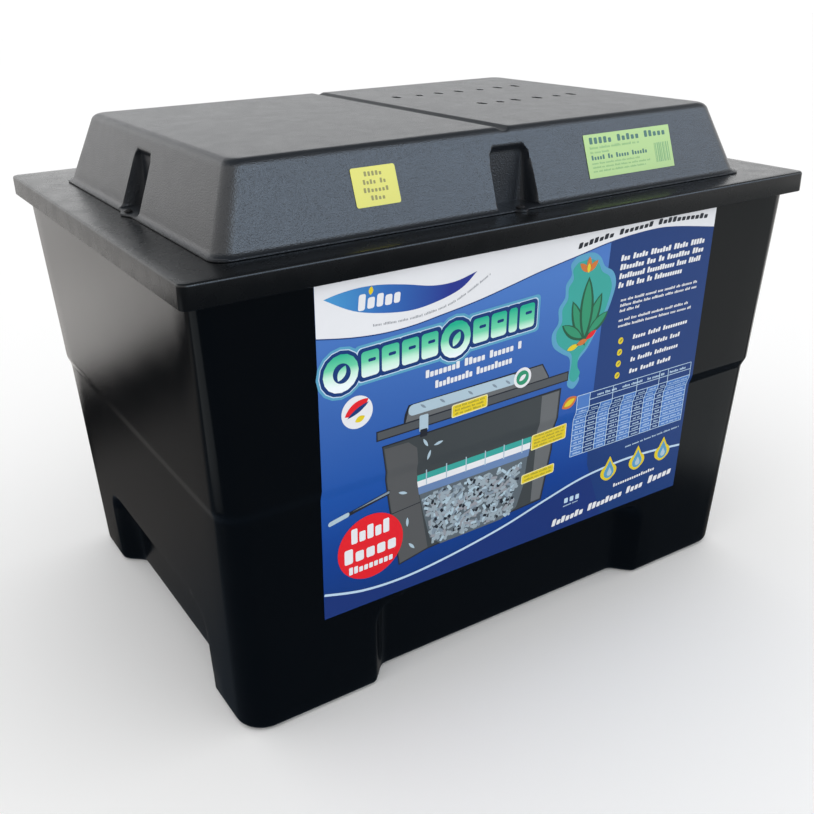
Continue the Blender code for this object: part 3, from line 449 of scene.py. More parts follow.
# ---------------------------------------------------------------- lid
def make_lid():
    ring = Ring(spread(LID_HALF[0] - 0.008, (), 0.03, 0.05), spread(LID_HALF[1] - 0.008, (), 0.03, 0.05), 8)

    def level(z, inset):
        corner = max(0.0085 - inset, 0.002)
        samples = ring.samples(LID_HALF[0] - inset, LID_HALF[1] - inset, corner)
        return [Vector((point.x, point.y, z)) for point, _, _, _ in samples]

    edge, lip = 0.0028, 0.001
    rings = [level(SKIRT_Z, lip)]
    rings += [level(SKIRT_Z + lip - lip * cos(a), lip - lip * sin(a)) for a in (pi / 6, pi / 3, pi / 2)]
    for step in range(6):
        angle = pi / 2 * step / 5
        rings.append(level(LID_TOP - edge + edge * sin(angle), edge - edge * cos(angle)))
    outside = [level(LID_TOP, inset) for inset in (0.01, 0.03, 0.07)]
    inside = [level(LID_TOP - LID_THICK, inset) for inset in (0.07, 0.03, 0.0048)]
    inside += [level(z, 0.004) for z in (LID_TOP - 0.0055, SKIRT_Z + 0.0008)] + [level(SKIRT_Z, 0.0032)]

    def build(working):
        loops = points_of(working, inside + rings + outside)
        bridge(working, loops)
        working.faces.new(loops[-1])
        working.faces.new(loops[0][::-1])
    lid = add("lid_shell", mesh_of(build), LID_BLACK)
    holes = [("cover_screw_" + place, SCREW_HOLE) for place in ("front", "back", "left", "right")]
    for name, radius in [*holes, ("spout_gasket", SPOUT_HOLE)]:
        low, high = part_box(name)
        x, y = (low.x + high.x) / 2, (low.y + high.y) / 2
        cut(lid, cylinder(radius, (x, y, LID_TOP - 0.02), (x, y, LID_TOP + 0.01), 32))
    settle(lid, 40)
    stand_in(lid, "lid_plate", "lid")


# ---------------------------------------------------------------- cover
POCKET_HALF, POCKET_REACH, POCKET_ROUND = 0.0265, 0.028, 0.0125
POCKET_FLOOR, POCKET_TALL, POCKET_HEAD_ROUND = 0.003, 0.062, 0.0075
EDGE_ROUND = 0.01
COVER_CORNER = 0.018
GROOVE_RADIUS, GROOVE_DEPTH = 0.01, 0.004
SCREW_FOOT, INLET_NOTCH = 0.0085, 0.023                   # radius
GROOVE_BLEND = 0.0015
COVER_WALL = 0.003
COVER_RING = Ring(spread(COVER_HALF[0] - COVER_CORNER, ((0.0, 0.034),), 0.0012, 0.019),
                  spread(COVER_HALF[1] - COVER_CORNER, ((0.01, 0.034),), 0.0012, 0.018), 12)


def cover_profile():
    """(into, up) down the outside of the cover from its foot: flare, leaning wall, round top edge."""
    lean = atan2(COVER_INSET[1], COVER_RISE)
    profile = [(-0.003, 0.0), (-0.0035, 0.0004), (-0.0035, 0.0013)]
    edge, radius, sweep = 0.0016, 0.008, pi / 2 - lean
    centre_in = (edge + radius * (1 - cos(sweep))) * tan(lean) - radius * sin(sweep)
    profile += [(centre_in + radius * sin(sweep * share), edge + radius * (1 - cos(sweep * share)))
                for share in (0.17, 0.34, 0.51, 0.68, 0.84, 1.0)]
    height = COVER_RISE - EDGE_ROUND
    centre_in = (height * sin(lean) + EDGE_ROUND) / cos(lean)
    foot, head = profile[-1][1], height + EDGE_ROUND * sin(lean) - 0.0001
    count = 34
    for step in range(1, count):
        up = foot + (head - foot) * step / count
        profile.append((up * tan(lean), up))
    for step in range(9):
        angle = lean + (pi / 2 - lean) * step / 8
        profile.append((centre_in - EDGE_ROUND * cos(angle), height + EDGE_ROUND * sin(angle)))
    return profile


def pocket_depth(along, up, into):
    """How far a screw pocket goes into a cover wall, at a place along it and a height up it."""
    share = min(max(up / POCKET_TALL, 0.0), 1.0)
    width = POCKET_HALF * (1.0 - 0.09 * share ** 3)
    over = min(up - (POCKET_TALL - POCKET_HEAD_ROUND), 0.8 * POCKET_HEAD_ROUND)
    if over > 0:
        width -= POCKET_HEAD_ROUND - sqrt(max(POCKET_HEAD_ROUND ** 2 - over ** 2, 0.0))
    beside = width - abs(along)
    if up < POCKET_FLOOR or beside < -0.001:
        return 0.0
    reach = POCKET_REACH + 0.001 * share
    rounding = POCKET_ROUND * (1.0 - 0.75 * share)
    into_corner = rounding - beside
    if into_corner > 0:
        reach -= rounding - sqrt(max(rounding ** 2 - into_corner ** 2, 0.0))
    depth = max(reach - into, 0.0) * smooth(POCKET_TALL + 0.003 - up, 0.0, 0.007)
    return depth * smooth(beside, -0.001, 0.0016)


def groove_floor(x):
    """Height that the groove over the middle of the cover cuts down to, or none outside it."""
    if abs(x) >= GROOVE_RADIUS:
        return 1.0
    return COVER_RISE - GROOVE_DEPTH + GROOVE_RADIUS - sqrt(GROOVE_RADIUS ** 2 - x * x)


def make_cover():
    loops = []
    scale = COVER_INSET[0] / COVER_INSET[1]
    for into, up in cover_profile():
        half_x, half_y = COVER_HALF[0] - into * (scale if into > 0 else 1.0), COVER_HALF[1] - into
        corner = COVER_CORNER - max(into, 0) * 0.15
        ring = []
        for point, outward, wall, along in COVER_RING.samples(half_x, half_y, corner):
            if wall != "corner":
                here = into * (scale if wall in ("left", "right") and into > 0 else 1.0)
                inward = pocket_depth(along, up, here)
                if up < POCKET_FLOOR and abs(along) < SCREW_FOOT:
                    inward = min(0.0, -(0.001 + sqrt(SCREW_FOOT ** 2 - along * along)) - here)
                point = point - outward * inward
            height = soft_min(up, groove_floor(point.x), GROOVE_BLEND)
            ring.append(Vector((point.x, point.y, COVER_BASE + height)) + COVER_CENTRE)
        loops.append(ring)

    def build(working):
        rings = points_of(working, loops)
        bridge(working, rings)
        fill_top(working, rings[-1])
    cover = add("cover_shell", mesh_of(build), GRAINED)
    solidify = cover.modifiers.new("Wall", "SOLIDIFY")
    solidify.thickness = COVER_WALL
    solidify.offset = -1.0
    settle(cover)
    x, y = COVER_CENTRE.x, COVER_CENTRE.y
    inlet_low, inlet_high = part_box("inlet_union_nut")
    inlet_x = (inlet_low.x + inlet_high.x) / 2
    notch = [(-INLET_NOTCH, -0.06), (INLET_NOTCH, -0.06)]
    notch += [(INLET_NOTCH * cos(pi * step / 16), INLET_NOTCH * sin(pi * step / 16)) for step in range(17)]
    cut(cover, loft([[Vector((inlet_x - a, face, UV_Z + b)) for a, b in notch] for face in (0.165, 0.26)]))
    cut(cover, box((x + 0.238, y + 0.19, COVER_BASE - 0.01), (x + 0.252, y + 0.27, COVER_BASE + 0.012)))
    cut(cover, sunk_marks())
    settle(cover, 50)
    stand_in(cover, "cover", "cover")


def sunk_marks():
    """Tools for two rows of plain moulded dashes on the right half of the top."""
    def build(working):
        for y, places in ((0.085, (0.052, 0.086, 0.118, 0.15, 0.184, 0.216, 0.246)),
                          (-0.038, (0.098, 0.124, 0.15, 0.184, 0.214, 0.24))):
            for number, x in enumerate(places):
                size = Matrix.Diagonal((0.008, 0.02 - 0.005 * (number % 3 == 1), 0.0026, 1.0))
                middle = COVER_CENTRE + Vector((x, y - 0.0025 * (number % 3 == 1), COVER_HIGH.z))
                cube = bmesh.ops.create_cube(working, size=1.0, matrix=Matrix.Translation(middle) @ size)
                edges = {edge for vert in cube["verts"] for edge in vert.link_edges
                         if abs(edge.verts[0].co.z - edge.verts[1].co.z) > 0.001}
                bmesh.ops.bevel(working, geom=list(edges), offset=0.003, segments=3, affect="EDGES")
    return mesh_of(build)


def fill_top(working, ring):
    """Close the top with a grid whose outermost points are the last ring."""
    half = COVER_RING.corner_steps // 2
    across, deep = len(COVER_RING.along_x) + 2 * half, len(COVER_RING.along_y) + 2 * half
    at = ring[-half:] + ring[:-half]
    front = at[:across]
    right = at[across - 1:across + deep - 1]
    back = at[across + deep - 2:2 * across + deep - 2][::-1]
    left = [at[0]] + at[2 * across + deep - 3:][::-1][:deep - 2] + [back[0]]
    grid = [[None] * deep for _ in range(across)]
    for i in range(across):
        grid[i][0], grid[i][-1] = front[i], back[i]
    for j in range(deep):
        grid[0][j], grid[-1][j] = left[j], right[j]
    for i in range(1, across - 1):
        for j in range(1, deep - 1):
            x = front[i].co.x + (back[i].co.x - front[i].co.x) * j / (deep - 1)
            y = left[j].co.y + (right[j].co.y - left[j].co.y) * i / (across - 1)
            height = soft_min(COVER_RISE, groove_floor(x - COVER_CENTRE.x), GROOVE_BLEND)
            grid[i][j] = working.verts.new((x, y, COVER_BASE + height))
    for i in range(across - 1):
        for j in range(deep - 1):
            working.faces.new((grid[i][j], grid[i + 1][j], grid[i + 1][j + 1], grid[i][j + 1]))


# ---------------------------------------------------------------- printed labels
LAYER = 0.00005                                          # each ink lies this far in front of the last
LABEL_SHEET, STICKER_SHEET = 0.0004, 0.0003              # thickness
CREASES = [WAIST[0] - 0.0025 + (WAIST[1] - WAIST[0] + 0.005) * step / 8 for step in range(9)]


def front_wall(across, up, lift):
    """A place on the labelled wall of the tank, a lift in front of it."""
    return Vector((across, -tank_half(up).y - GAP - lift, up))


def cover_wall(across, up, lift):
    """A place on the front of the cover, a lift in front of it."""
    lean = atan2(COVER_INSET[1], COVER_RISE)
    into = (up - COVER_BASE) * tan(lean) - (GAP + lift) / cos(lean)
    return Vector((COVER_CENTRE.x + across, COVER_CENTRE.y - COVER_HALF[1] + into, up))


def curve_through(points, steps=6):
    """A smooth line through given points."""
    ends = [points[0], *points, points[-1]]
    line = []
    for a, b, c, d in zip(ends, ends[1:], ends[2:], ends[3:]):
        for step in range(steps):
            t = step / steps
            line.append(tuple(0.5 * (2 * q + (r - p) * t + (2 * p - 5 * q + 4 * r - s) * t * t
                                     + (3 * q - p - 3 * r + s) * t ** 3) for p, q, r, s in zip(a, b, c, d)))
    return line + [points[-1]]


class Artwork:
    """Flat shapes of ink in a wall's own (across, up) metres."""

    def __init__(self, wall, sheet):
        self.wall, self.sheet, self.shapes, self.random = wall, sheet, [], random.Random(11)

    def shape(self, ink, layer, points):
        self.shapes.append((ink, layer, points))

    def oval(self, ink, layer, centre, half_wide, half_tall=None, sides=40):
        x, y = centre
        half_tall = half_tall or half_wide
        turns = [2 * pi * side / sides for side in range(sides)]
        self.shape(ink, layer, [(x + half_wide * cos(a), y + half_tall * sin(a)) for a in turns])

    def block(self, ink, layer, middle, size, rounding, slope=0.0, slant=0.0):
        """A rounded rectangle whose rows climb by the slope and whose columns lean by the slant."""
        half_wide, half_tall = size[0] / 2 - rounding, size[1] / 2 - rounding
        points = []
        for number, (side_x, side_y) in enumerate(((1, 1), (-1, 1), (-1, -1), (1, -1))):
            for step in range(5):
                angle = pi / 2 * (number + step / 4)
                x = side_x * half_wide + rounding * cos(angle)
                y = side_y * half_tall + rounding * sin(angle)
                points.append((middle[0] + x + slant * y, middle[1] + y + slope * x))
        self.shape(ink, layer, points)

    def ribbon(self, ink, layer, line, width):
        """A band of constant width along a line."""
        above, below = [], []
        for index, point in enumerate(line):
            before, after = line[max(index - 1, 0)], line[min(index + 1, len(line) - 1)]
            run = Vector((after[0] - before[0], after[1] - before[1])).normalized() * width / 2
            above.append((point[0] - run.y, point[1] + run.x))
            below.append((point[0] + run.y, point[1] - run.x))
        self.shape(ink, layer, above + below[::-1])

    def greek(self, ink, layer, line, height, weight, slant=0.0, words=()):
        """A row of blank blocks that fills a line, set like words but without letters."""
        lengths = [hypot(b[0] - a[0], b[1] - a[1]) for a, b in zip(line, line[1:])]
        total = sum(lengths)
        slots = sum(words) + len(words) - 1 if words else max(int(total / (height * 0.6)), 2)
        filled = []
        for word in words or [self.random.randint(3, 9) for _ in range(slots)]:
            filled += [True] * word + [False]
        pitch = total / slots
        for slot in range(slots):
            if not filled[slot]:
                continue
            along, span = slot * pitch + pitch / 2, 0
            while along > lengths[span]:
                along -= lengths[span]
                span += 1
            (x0, y0), (x1, y1) = line[span], line[span + 1]
            share, slope = along / lengths[span], (y1 - y0) / (x1 - x0)
            first = slot == 0 or not filled[slot - 1]
            tall = height if first and words else height * self.random.choice((0.68, 0.68, 0.68, 0.94))
            middle = (x0 + (x1 - x0) * share, y0 + (y1 - y0) * share + tall / 2)
            size = (pitch * weight, tall)
            self.block(ink, layer, middle, size, min(size) * 0.22, slope, slant)

    def make(self, name, body):
        """One mesh of all the shapes, creased to follow the wall."""
        inks = list(dict.fromkeys(ink for ink, _, _ in self.shapes))
        working = bmesh.new()
        for ink, layer, points in self.shapes:
            corners = [working.verts.new((x, self.sheet + layer * LAYER, y)) for x, y in points]
            for triangle in tessellate_polygon([[Vector((x, y, 0)) for x, y in points]]):
                face = working.faces.new([corners[index] for index in triangle])
                face.material_index = inks.index(ink)
        if self.wall is front_wall:
            for level in CREASES:
                bmesh.ops.bisect_plane(working, geom=working.verts[:] + working.edges[:] + working.faces[:],
                                       plane_co=(0, 0, level), plane_no=(0, 0, 1), dist=1e-7)
        for vert in working.verts:
            vert.co = self.wall(vert.co.x, vert.co.z, vert.co.y)
        bmesh.ops.recalc_face_normals(working, faces=working.faces[:])
        for face in working.faces:
            if face.normal.y > 0:
                face.normal_flip()
        mesh = bpy.data.meshes.new(name)
        working.to_mesh(mesh)
        working.free()
        piece = add(name, mesh, *inks)
        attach(piece, body)


def label_sheet(name, wall, corners, thickness, material, body, label, rounding=0.0):
    """The sheet that a label is printed on, creased like the wall behind it."""
    (x0, z0), (x1, z1) = corners
    curve = [rounding * (1 - cos(step * pi / 8)) for step in range(1, 5)] if rounding else []
    levels = [z0, *(z0 + rise for rise in curve), *(z for z in CREASES if z0 < z < z1),
              *(z1 - rise for rise in reversed(curve)), z1]

    def ends(z):
        short = rounding - min(z - z0, z1 - z, rounding)
        inset = rounding - sqrt(max(rounding ** 2 - short ** 2, 0.0))
        return x0 + inset, x1 - inset

    def build(working):
        faces = [[[working.verts.new(wall(x, z, lift)) for x in ends(z)] for z in levels]
                 for lift in (0.0, thickness)]
        back, front = faces
        for row in range(len(levels) - 1):
            working.faces.new((back[row][1], back[row][0], back[row + 1][0], back[row + 1][1]))
            working.faces.new((front[row][0], front[row][1], front[row + 1][1], front[row + 1][0]))
            working.faces.new((back[row][0], front[row][0], front[row + 1][0], back[row + 1][0]))
            working.faces.new((front[row][1], back[row][1], back[row + 1][1], front[row + 1][1]))
        working.faces.new((back[0][0], back[0][1], front[0][1], front[0][0]))
        working.faces.new((front[-1][0], front[-1][1], back[-1][1], back[-1][0]))
    sheet = add(name, mesh_of(build), material)
    stand_in(sheet, label, body)


def turned(centre, angle, points):
    """Points turned by an angle and put round a centre."""
    return [(centre[0] + x * cos(angle) - y * sin(angle), centre[1] + x * sin(angle) + y * cos(angle))
            for x, y in points]


def leaf(centre, length, width, degrees, steps=9):
    """A pointed leaf shape about a centre."""
    points = []
    for side in (1, -1):
        for step in range(steps):
            share = step / steps if side > 0 else 1 - step / steps
            points.append(((share - 0.5) * length, side * width / 2 * sin(pi * share) ** 0.8))
    return turned(centre, radians(degrees), points)


def tube_end(centre, length, width, angle):
    """A short tube seen from the side."""
    corners = ((-1, -0.6), (-0.8, -1), (0.8, -1), (1, -0.6), (1, 0.6), (0.8, 1), (-0.8, 1), (-1, 0.6))
    return turned(centre, angle, [(x * length / 2, y * width / 2) for x, y in corners])


def drop(centre, radius, steps=14):
    """A falling drop: a round foot and a pointed head."""
    points = [(centre[0], centre[1] + radius * 2.1)]
    for step in range(steps + 1):
        angle = radians(150) + radians(240) * step / steps
        points.append((centre[0] + radius * cos(angle), centre[1] + radius * sin(angle)))
    return points


def band_and_panel(art):
    """White band and crest at the top, dark panel at the right and the line under it all."""
    edge = curve_through([(-0.27, 0.449), (-0.234, 0.443), (-0.198, 0.44), (-0.163, 0.441), (-0.131, 0.445),
                          (-0.088, 0.451), (-0.047, 0.459), (-0.004, 0.468), (0.043, 0.476), (0.096, 0.485),
                          (0.152, 0.489), (0.192, 0.487), (0.257, 0.477)])
    panel_top = [point for point in edge if point[0] > 0.097]
    art.shape(NAVY, 1, panel_top + [(0.257, 0.1235), (0.126, 0.1235), (0.094, 0.205), (0.088, 0.3),
                                    (0.094, 0.484)])
    art.shape(WHITE_INK, 2, edge + [(0.257, 0.5003), (-0.27, 0.5003)])
    art.ribbon(NAVY, 3, [(x, z - 0.0004) for x, z in edge], 0.0012)
    crest = curve_through([(-0.261, 0.4855), (-0.246, 0.4885), (-0.224, 0.4905), (-0.2, 0.4893),
                           (-0.172, 0.4845), (-0.14, 0.4775), (-0.113, 0.477), (-0.087, 0.483)])
    crest += curve_through([(-0.087, 0.483), (-0.105, 0.469), (-0.131, 0.461), (-0.163, 0.457),
                            (-0.197, 0.4605), (-0.23, 0.469), (-0.261, 0.4855)])[1:-1]
    art.shape(CREST_INK, 4, crest)
    for middle, size in (((-0.2205, 0.4755), (0.0075, 0.016)), ((-0.2105, 0.4735), (0.0078, 0.011)),
                         ((-0.2005, 0.4745), (0.0072, 0.013)), ((-0.191, 0.473), (0.0078, 0.0105)),
                         ((-0.1815, 0.4733), (0.007, 0.0105))):
        art.block(WHITE_INK, 5, middle, size, 0.0022, 0.0, 0.1)
    art.shape(YELLOW_INK, 6, leaf((-0.2105, 0.4855), 0.0085, 0.005, 80))
    motto = curve_through([(-0.209, 0.449), (-0.178, 0.4475), (-0.149, 0.4485), (-0.119, 0.4535),
                           (-0.095, 0.463), (-0.07, 0.476)])
    art.greek(GREY_INK, 4, motto, 0.0028, 0.55)
    art.greek(BLACK_INK, 4, curve_through([(0.046, 0.4835), (0.09, 0.489), (0.15, 0.4926), (0.2, 0.4925),
                                           (0.244, 0.4895)]), 0.0064, 0.76, 0.25, (7, 7, 11))
    line = curve_through([(-0.2695, 0.155), (-0.222, 0.143), (-0.168, 0.14), (-0.106, 0.146), (-0.035, 0.158),
                          (0.024, 0.173), (0.078, 0.186), (0.118, 0.191), (0.16, 0.193), (0.204, 0.191),
                          (0.2565, 0.1855)])
    art.shape(DEEP_INK, 0.5, line + [(0.2565, 0.1235), (-0.2695, 0.1235)])
    art.ribbon(PALE_INK, 5, line, 0.003)


def title(art):
    """The name block: blank discs and blocks shaded from green to white inside a dark outline."""
    start, end = (-0.245, 0.4085), (-0.019, 0.4195)
    plain = (0.02, 0.027)
    sizes = [(0.039, 0.04), plain, plain, plain, plain, (0.037, 0.04), plain, plain, (0.011, 0.027), plain]
    filled = sum(wide for wide, _ in sizes) - sizes[0][0] / 2 - sizes[-1][0] / 2
    gap = (end[0] - start[0] - filled) / (len(sizes) - 1)
    x = start[0] - sizes[0][0] / 2
    slope = (end[1] - start[1]) / (end[0] - start[0])
    for number, (wide, tall) in enumerate(sizes):
        round_piece = tall > 0.03
        climb = slope * (x + wide / 2 - start[0])
        middle = (x + wide / 2, start[1] + climb + (0.0 if round_piece else 0.002))
        for layer, ink, grow in ((2.0, HALO_INK, 0.0075), (3.0, PALE_INK, 0.0048), (4.0, NAVY, 0.0038)):
            size = (wide + grow * 2, tall + grow * 2)
            rounding = min(size) / 2 - 0.0001 if round_piece else 0.005
            art.block(ink, layer + number * 0.08, middle, size, rounding, slope)
        rounding = min(wide, tall) / 2 - 0.0001 if round_piece else 0.0035
        art.block(TITLE_INK, 5, middle, (wide, tall), rounding, slope)
        if round_piece:
            art.oval(NAVY, 6, (middle[0] + 0.001, middle[1]), 0.0098, 0.0105)
            art.shape(TITLE_INK, 7, leaf((middle[0] + 0.001, middle[1]), 0.017, 0.0085, 60))
        elif wide > 0.015:
            art.block(NAVY, 6, (middle[0] + 0.002, middle[1] + 0.0035), (0.0085, 0.0034), 0.0014, slope)
        x += wide + gap
    art.greek(WHITE_INK, 5, [(-0.148, 0.38), (-0.024, 0.386)], 0.0086, 0.8, 0.0, (8, 5, 6, 1))
    art.greek(WHITE_INK, 5, [(-0.136, 0.366), (-0.036, 0.3715)], 0.0086, 0.8, 0.0, (10, 10))


def roundel(art):
    """A plain badge under the name block."""
    art.oval(WHITE_INK, 3, (-0.228, 0.363), 0.0178)
    art.shape(RED_INK, 4, leaf((-0.2285, 0.368), 0.031, 0.012, 28))
    art.shape(NAVY, 5, leaf((-0.227, 0.365), 0.028, 0.005, 28))
    art.shape(YELLOW_INK, 5, leaf((-0.225, 0.355), 0.012, 0.0065, 20))


def cutaway(art):
    """A sectional picture of the filter."""
    outline = curve_through([(-0.174, 0.334), (-0.1725, 0.345), (-0.168, 0.355)], 3)
    art.shape(BLACK_INK, 1.5, outline + [(0.008, 0.36), (0.018, 0.343), (0.018, 0.334)])
    art.shape(DOME_INK, 2, [(-0.172, 0.334), (-0.1665, 0.3535), (0.007, 0.3585), (0.0165, 0.3425),
                            (0.0165, 0.334)])
    art.block(GLASS_INK, 3, (-0.098, 0.3495), (0.14, 0.0125), 0.0058, 0.02)
    for x in (-0.15, -0.126, -0.09, -0.058, -0.04):
        art.shape(STEEL_INK, 4, leaf((x, 0.3495), 0.009, 0.0026, -38))
    art.oval(WHITE_INK, 4, (-0.02, 0.35), 0.012)
    art.oval(GREEN_INK, 5, (-0.02, 0.35), 0.0086)
    art.shape(WHITE_INK, 6, leaf((-0.02, 0.35), 0.011, 0.0056, 35))
    art.shape(BLACK_INK, 2.5, [(-0.2065, 0.3235), (-0.2065, 0.335), (0.047, 0.342), (0.047, 0.33)])
    art.shape(LID_INK, 3, [(-0.205, 0.325), (-0.205, 0.3335), (0.0455, 0.3405), (0.0455, 0.3315)])
    art.shape(BLACK_INK, 1.5, [(-0.2, 0.3165), (0.038, 0.3235), (0.0345, 0.243), (0.024, 0.178),
                               (-0.1385, 0.167), (-0.1765, 0.159), (-0.19, 0.241)])
    art.shape(TANK_INK, 2, [(-0.1985, 0.315), (0.0365, 0.3215), (0.033, 0.243), (0.0225, 0.1795),
                            (-0.138, 0.1685), (-0.1755, 0.1605), (-0.1885, 0.241)])
    art.shape(RISER_INK, 3, [(-0.197, 0.3125), (-0.168, 0.3125), (-0.157, 0.303), (-0.153, 0.251),
                             (-0.1385, 0.169), (-0.175, 0.1615), (-0.188, 0.244)])
    art.ribbon(BLACK_INK, 4, [(-0.186, 0.229), (-0.1495, 0.232)], 0.001)
    art.shape(DOME_INK, 3, [(0.01, 0.32), (0.035, 0.3205), (0.0315, 0.243), (0.0215, 0.1805), (0.008, 0.18)])
    art.shape(TEAL_INK, 4, [(-0.154, 0.259), (-0.154, 0.2665), (0.0015, 0.27), (0.001, 0.2625)])
    art.shape(WHITE_INK, 4, [(-0.153, 0.2515), (-0.154, 0.259), (0.001, 0.2625), (0.0005, 0.2545)])
    art.shape(PAD_INK, 4, [(-0.1515, 0.242), (-0.153, 0.2515), (0.0005, 0.2545), (-0.001, 0.245)])
    for number in range(6):
        x = -0.142 + number * 0.0262
        art.ribbon(GLASS_INK, 5, [(x, 0.252), (x - 0.0004, 0.2705)], 0.0014)
    bed = [(-0.1505, 0.242), (-0.002, 0.245), (-0.005, 0.208), (-0.014, 0.18), (-0.036, 0.1705),
           (-0.121, 0.168), (-0.136, 0.181), (-0.1455, 0.217)]
    art.shape(MEDIA_INK, 4, bed)
    pieces = random.Random(5)
    for number in range(560):
        up = pieces.uniform(0.174, 0.2385)
        across = pieces.uniform(-0.1445 + (0.2385 - up) * 0.18, -0.01 - (0.2385 - up) * 0.2)
        shade = pieces.choice((STEEL_INK, GLASS_INK, TUBE_INK, TUBE_INK, TUBE_INK, GREY_INK, BLACK_INK))
        long = pieces.uniform(0.004, 0.006) if shade is BLACK_INK else pieces.uniform(0.006, 0.0095)
        art.shape(shade, 5 + number * 0.003, tube_end((across, up), long, 0.0034, pieces.uniform(0, pi)))
    art.block(GLASS_INK, 4, (-0.149, 0.33), (0.011, 0.019), 0.0015)
    art.block(BLACK_INK, 5, (-0.149, 0.3185), (0.009, 0.009), 0.001)
    for x, z, turn in ((-0.1465, 0.306, -60), (-0.142, 0.29, -110), (-0.13, 0.301, 10), (-0.172, 0.251, 160),
                       (-0.166, 0.212, 90), (-0.16, 0.179, 130)):
        art.shape(GLASS_INK, 6, leaf((x, z), 0.012, 0.0034, turn))
    art.shape(BLACK_INK, 3, [(-0.24, 0.248), (-0.188, 0.26), (-0.1885, 0.2545), (-0.238, 0.244)])
    art.shape(STEEL_INK, 4, [(-0.235, 0.248), (-0.189, 0.259), (-0.1888, 0.256)])
    art.block(GLASS_INK, 5, (-0.25, 0.244), (0.025, 0.0056), 0.0026, 0.22)
    for x0, x1, z0, z1, slope in ((-0.114, -0.067, 0.3265, 0.3415, 0.04), (0.002, 0.054, 0.252, 0.272, 0.05),
                                  (-0.009, 0.04, 0.21, 0.2225, 0.05)):
        middle, size = ((x0 + x1) / 2, (z0 + z1) / 2), (x1 - x0, z1 - z0)
        art.block(CREAM_INK, 6, middle, size, 0.0022, slope)
        art.block(YELLOW_INK, 7, middle, (size[0] - 0.0022, size[1] - 0.0022), 0.0016, slope)
        rows = int(size[1] / 0.0045)
        for row in range(rows):
            z = z0 + size[1] * (row + 0.62) / (rows + 0.6) - 0.0008
            art.greek(OLIVE_INK, 8, [(x0 + 0.004, z), (x1 - 0.004, z + slope * size[0] * 0.6)], 0.0026, 0.55)


def emblem(art):
    """A pond plant with a flower, over an uneven patch of water."""
    cloud = curve_through([(0.046, 0.476), (0.067, 0.477), (0.08, 0.47), (0.088, 0.458), (0.101, 0.45),
                           (0.107, 0.436), (0.104, 0.42), (0.098, 0.404), (0.086, 0.386), (0.072, 0.364),
                           (0.06, 0.352), (0.059, 0.338), (0.064, 0.328), (0.056, 0.318), (0.046, 0.325),
                           (0.048, 0.344), (0.046, 0.358), (0.034, 0.366), (0.021, 0.377), (0.018, 0.392),
                           (0.026, 0.404), (0.025, 0.42), (0.033, 0.432), (0.033, 0.446), (0.04, 0.456),
                           (0.038, 0.468), (0.046, 0.476)], 4)[:-1]
    art.shape(HALO_INK, 2, cloud)
    small = [(0.064 + (x - 0.064) * 0.86, 0.402 + (z - 0.402) * 0.9) for x, z in cloud]
    art.shape(TEAL_INK, 3, small)
    fronds = ((0.056, 0.397, 0.062, 0.017, 112), (0.076, 0.4, 0.06, 0.017, 68),
              (0.066, 0.412, 0.076, 0.02, 90), (0.048, 0.388, 0.04, 0.014, 145),
              (0.084, 0.392, 0.038, 0.014, 38))
    for number, (x, z, length, width, turn) in enumerate(fronds):
        art.shape(DARK_GREEN_INK, 4 + number * 0.4, leaf((x, z), length, width, turn))
        tip = leaf((x, z + 0.001), length * 0.86, width * 0.66, turn)
        art.shape(GREEN_INK, 4.2 + number * 0.4, tip)
    for turn in (40, 90, 140):
        middle = (0.064 + 0.008 * cos(radians(turn)), 0.456 + 0.008 * sin(radians(turn)))
        art.shape(ORANGE_INK, 7, leaf(middle, 0.018, 0.007, turn))
    art.shape(YELLOW_INK, 8, leaf((0.064, 0.46), 0.011, 0.005, 90))
    for number, (x, z, turn) in enumerate(((0.05, 0.37, 12), (0.063, 0.3735, 12), (0.076, 0.38, 30))):
        art.shape((YELLOW_INK, ORANGE_INK, RED_INK)[number], 7, leaf((x, z), 0.017, 0.0066, turn))
    art.shape(ORANGE_INK, 3, leaf((0.052, 0.301), 0.024, 0.014, 25))
    art.shape(YELLOW_INK, 4, leaf((0.052, 0.301), 0.017, 0.007, 25))


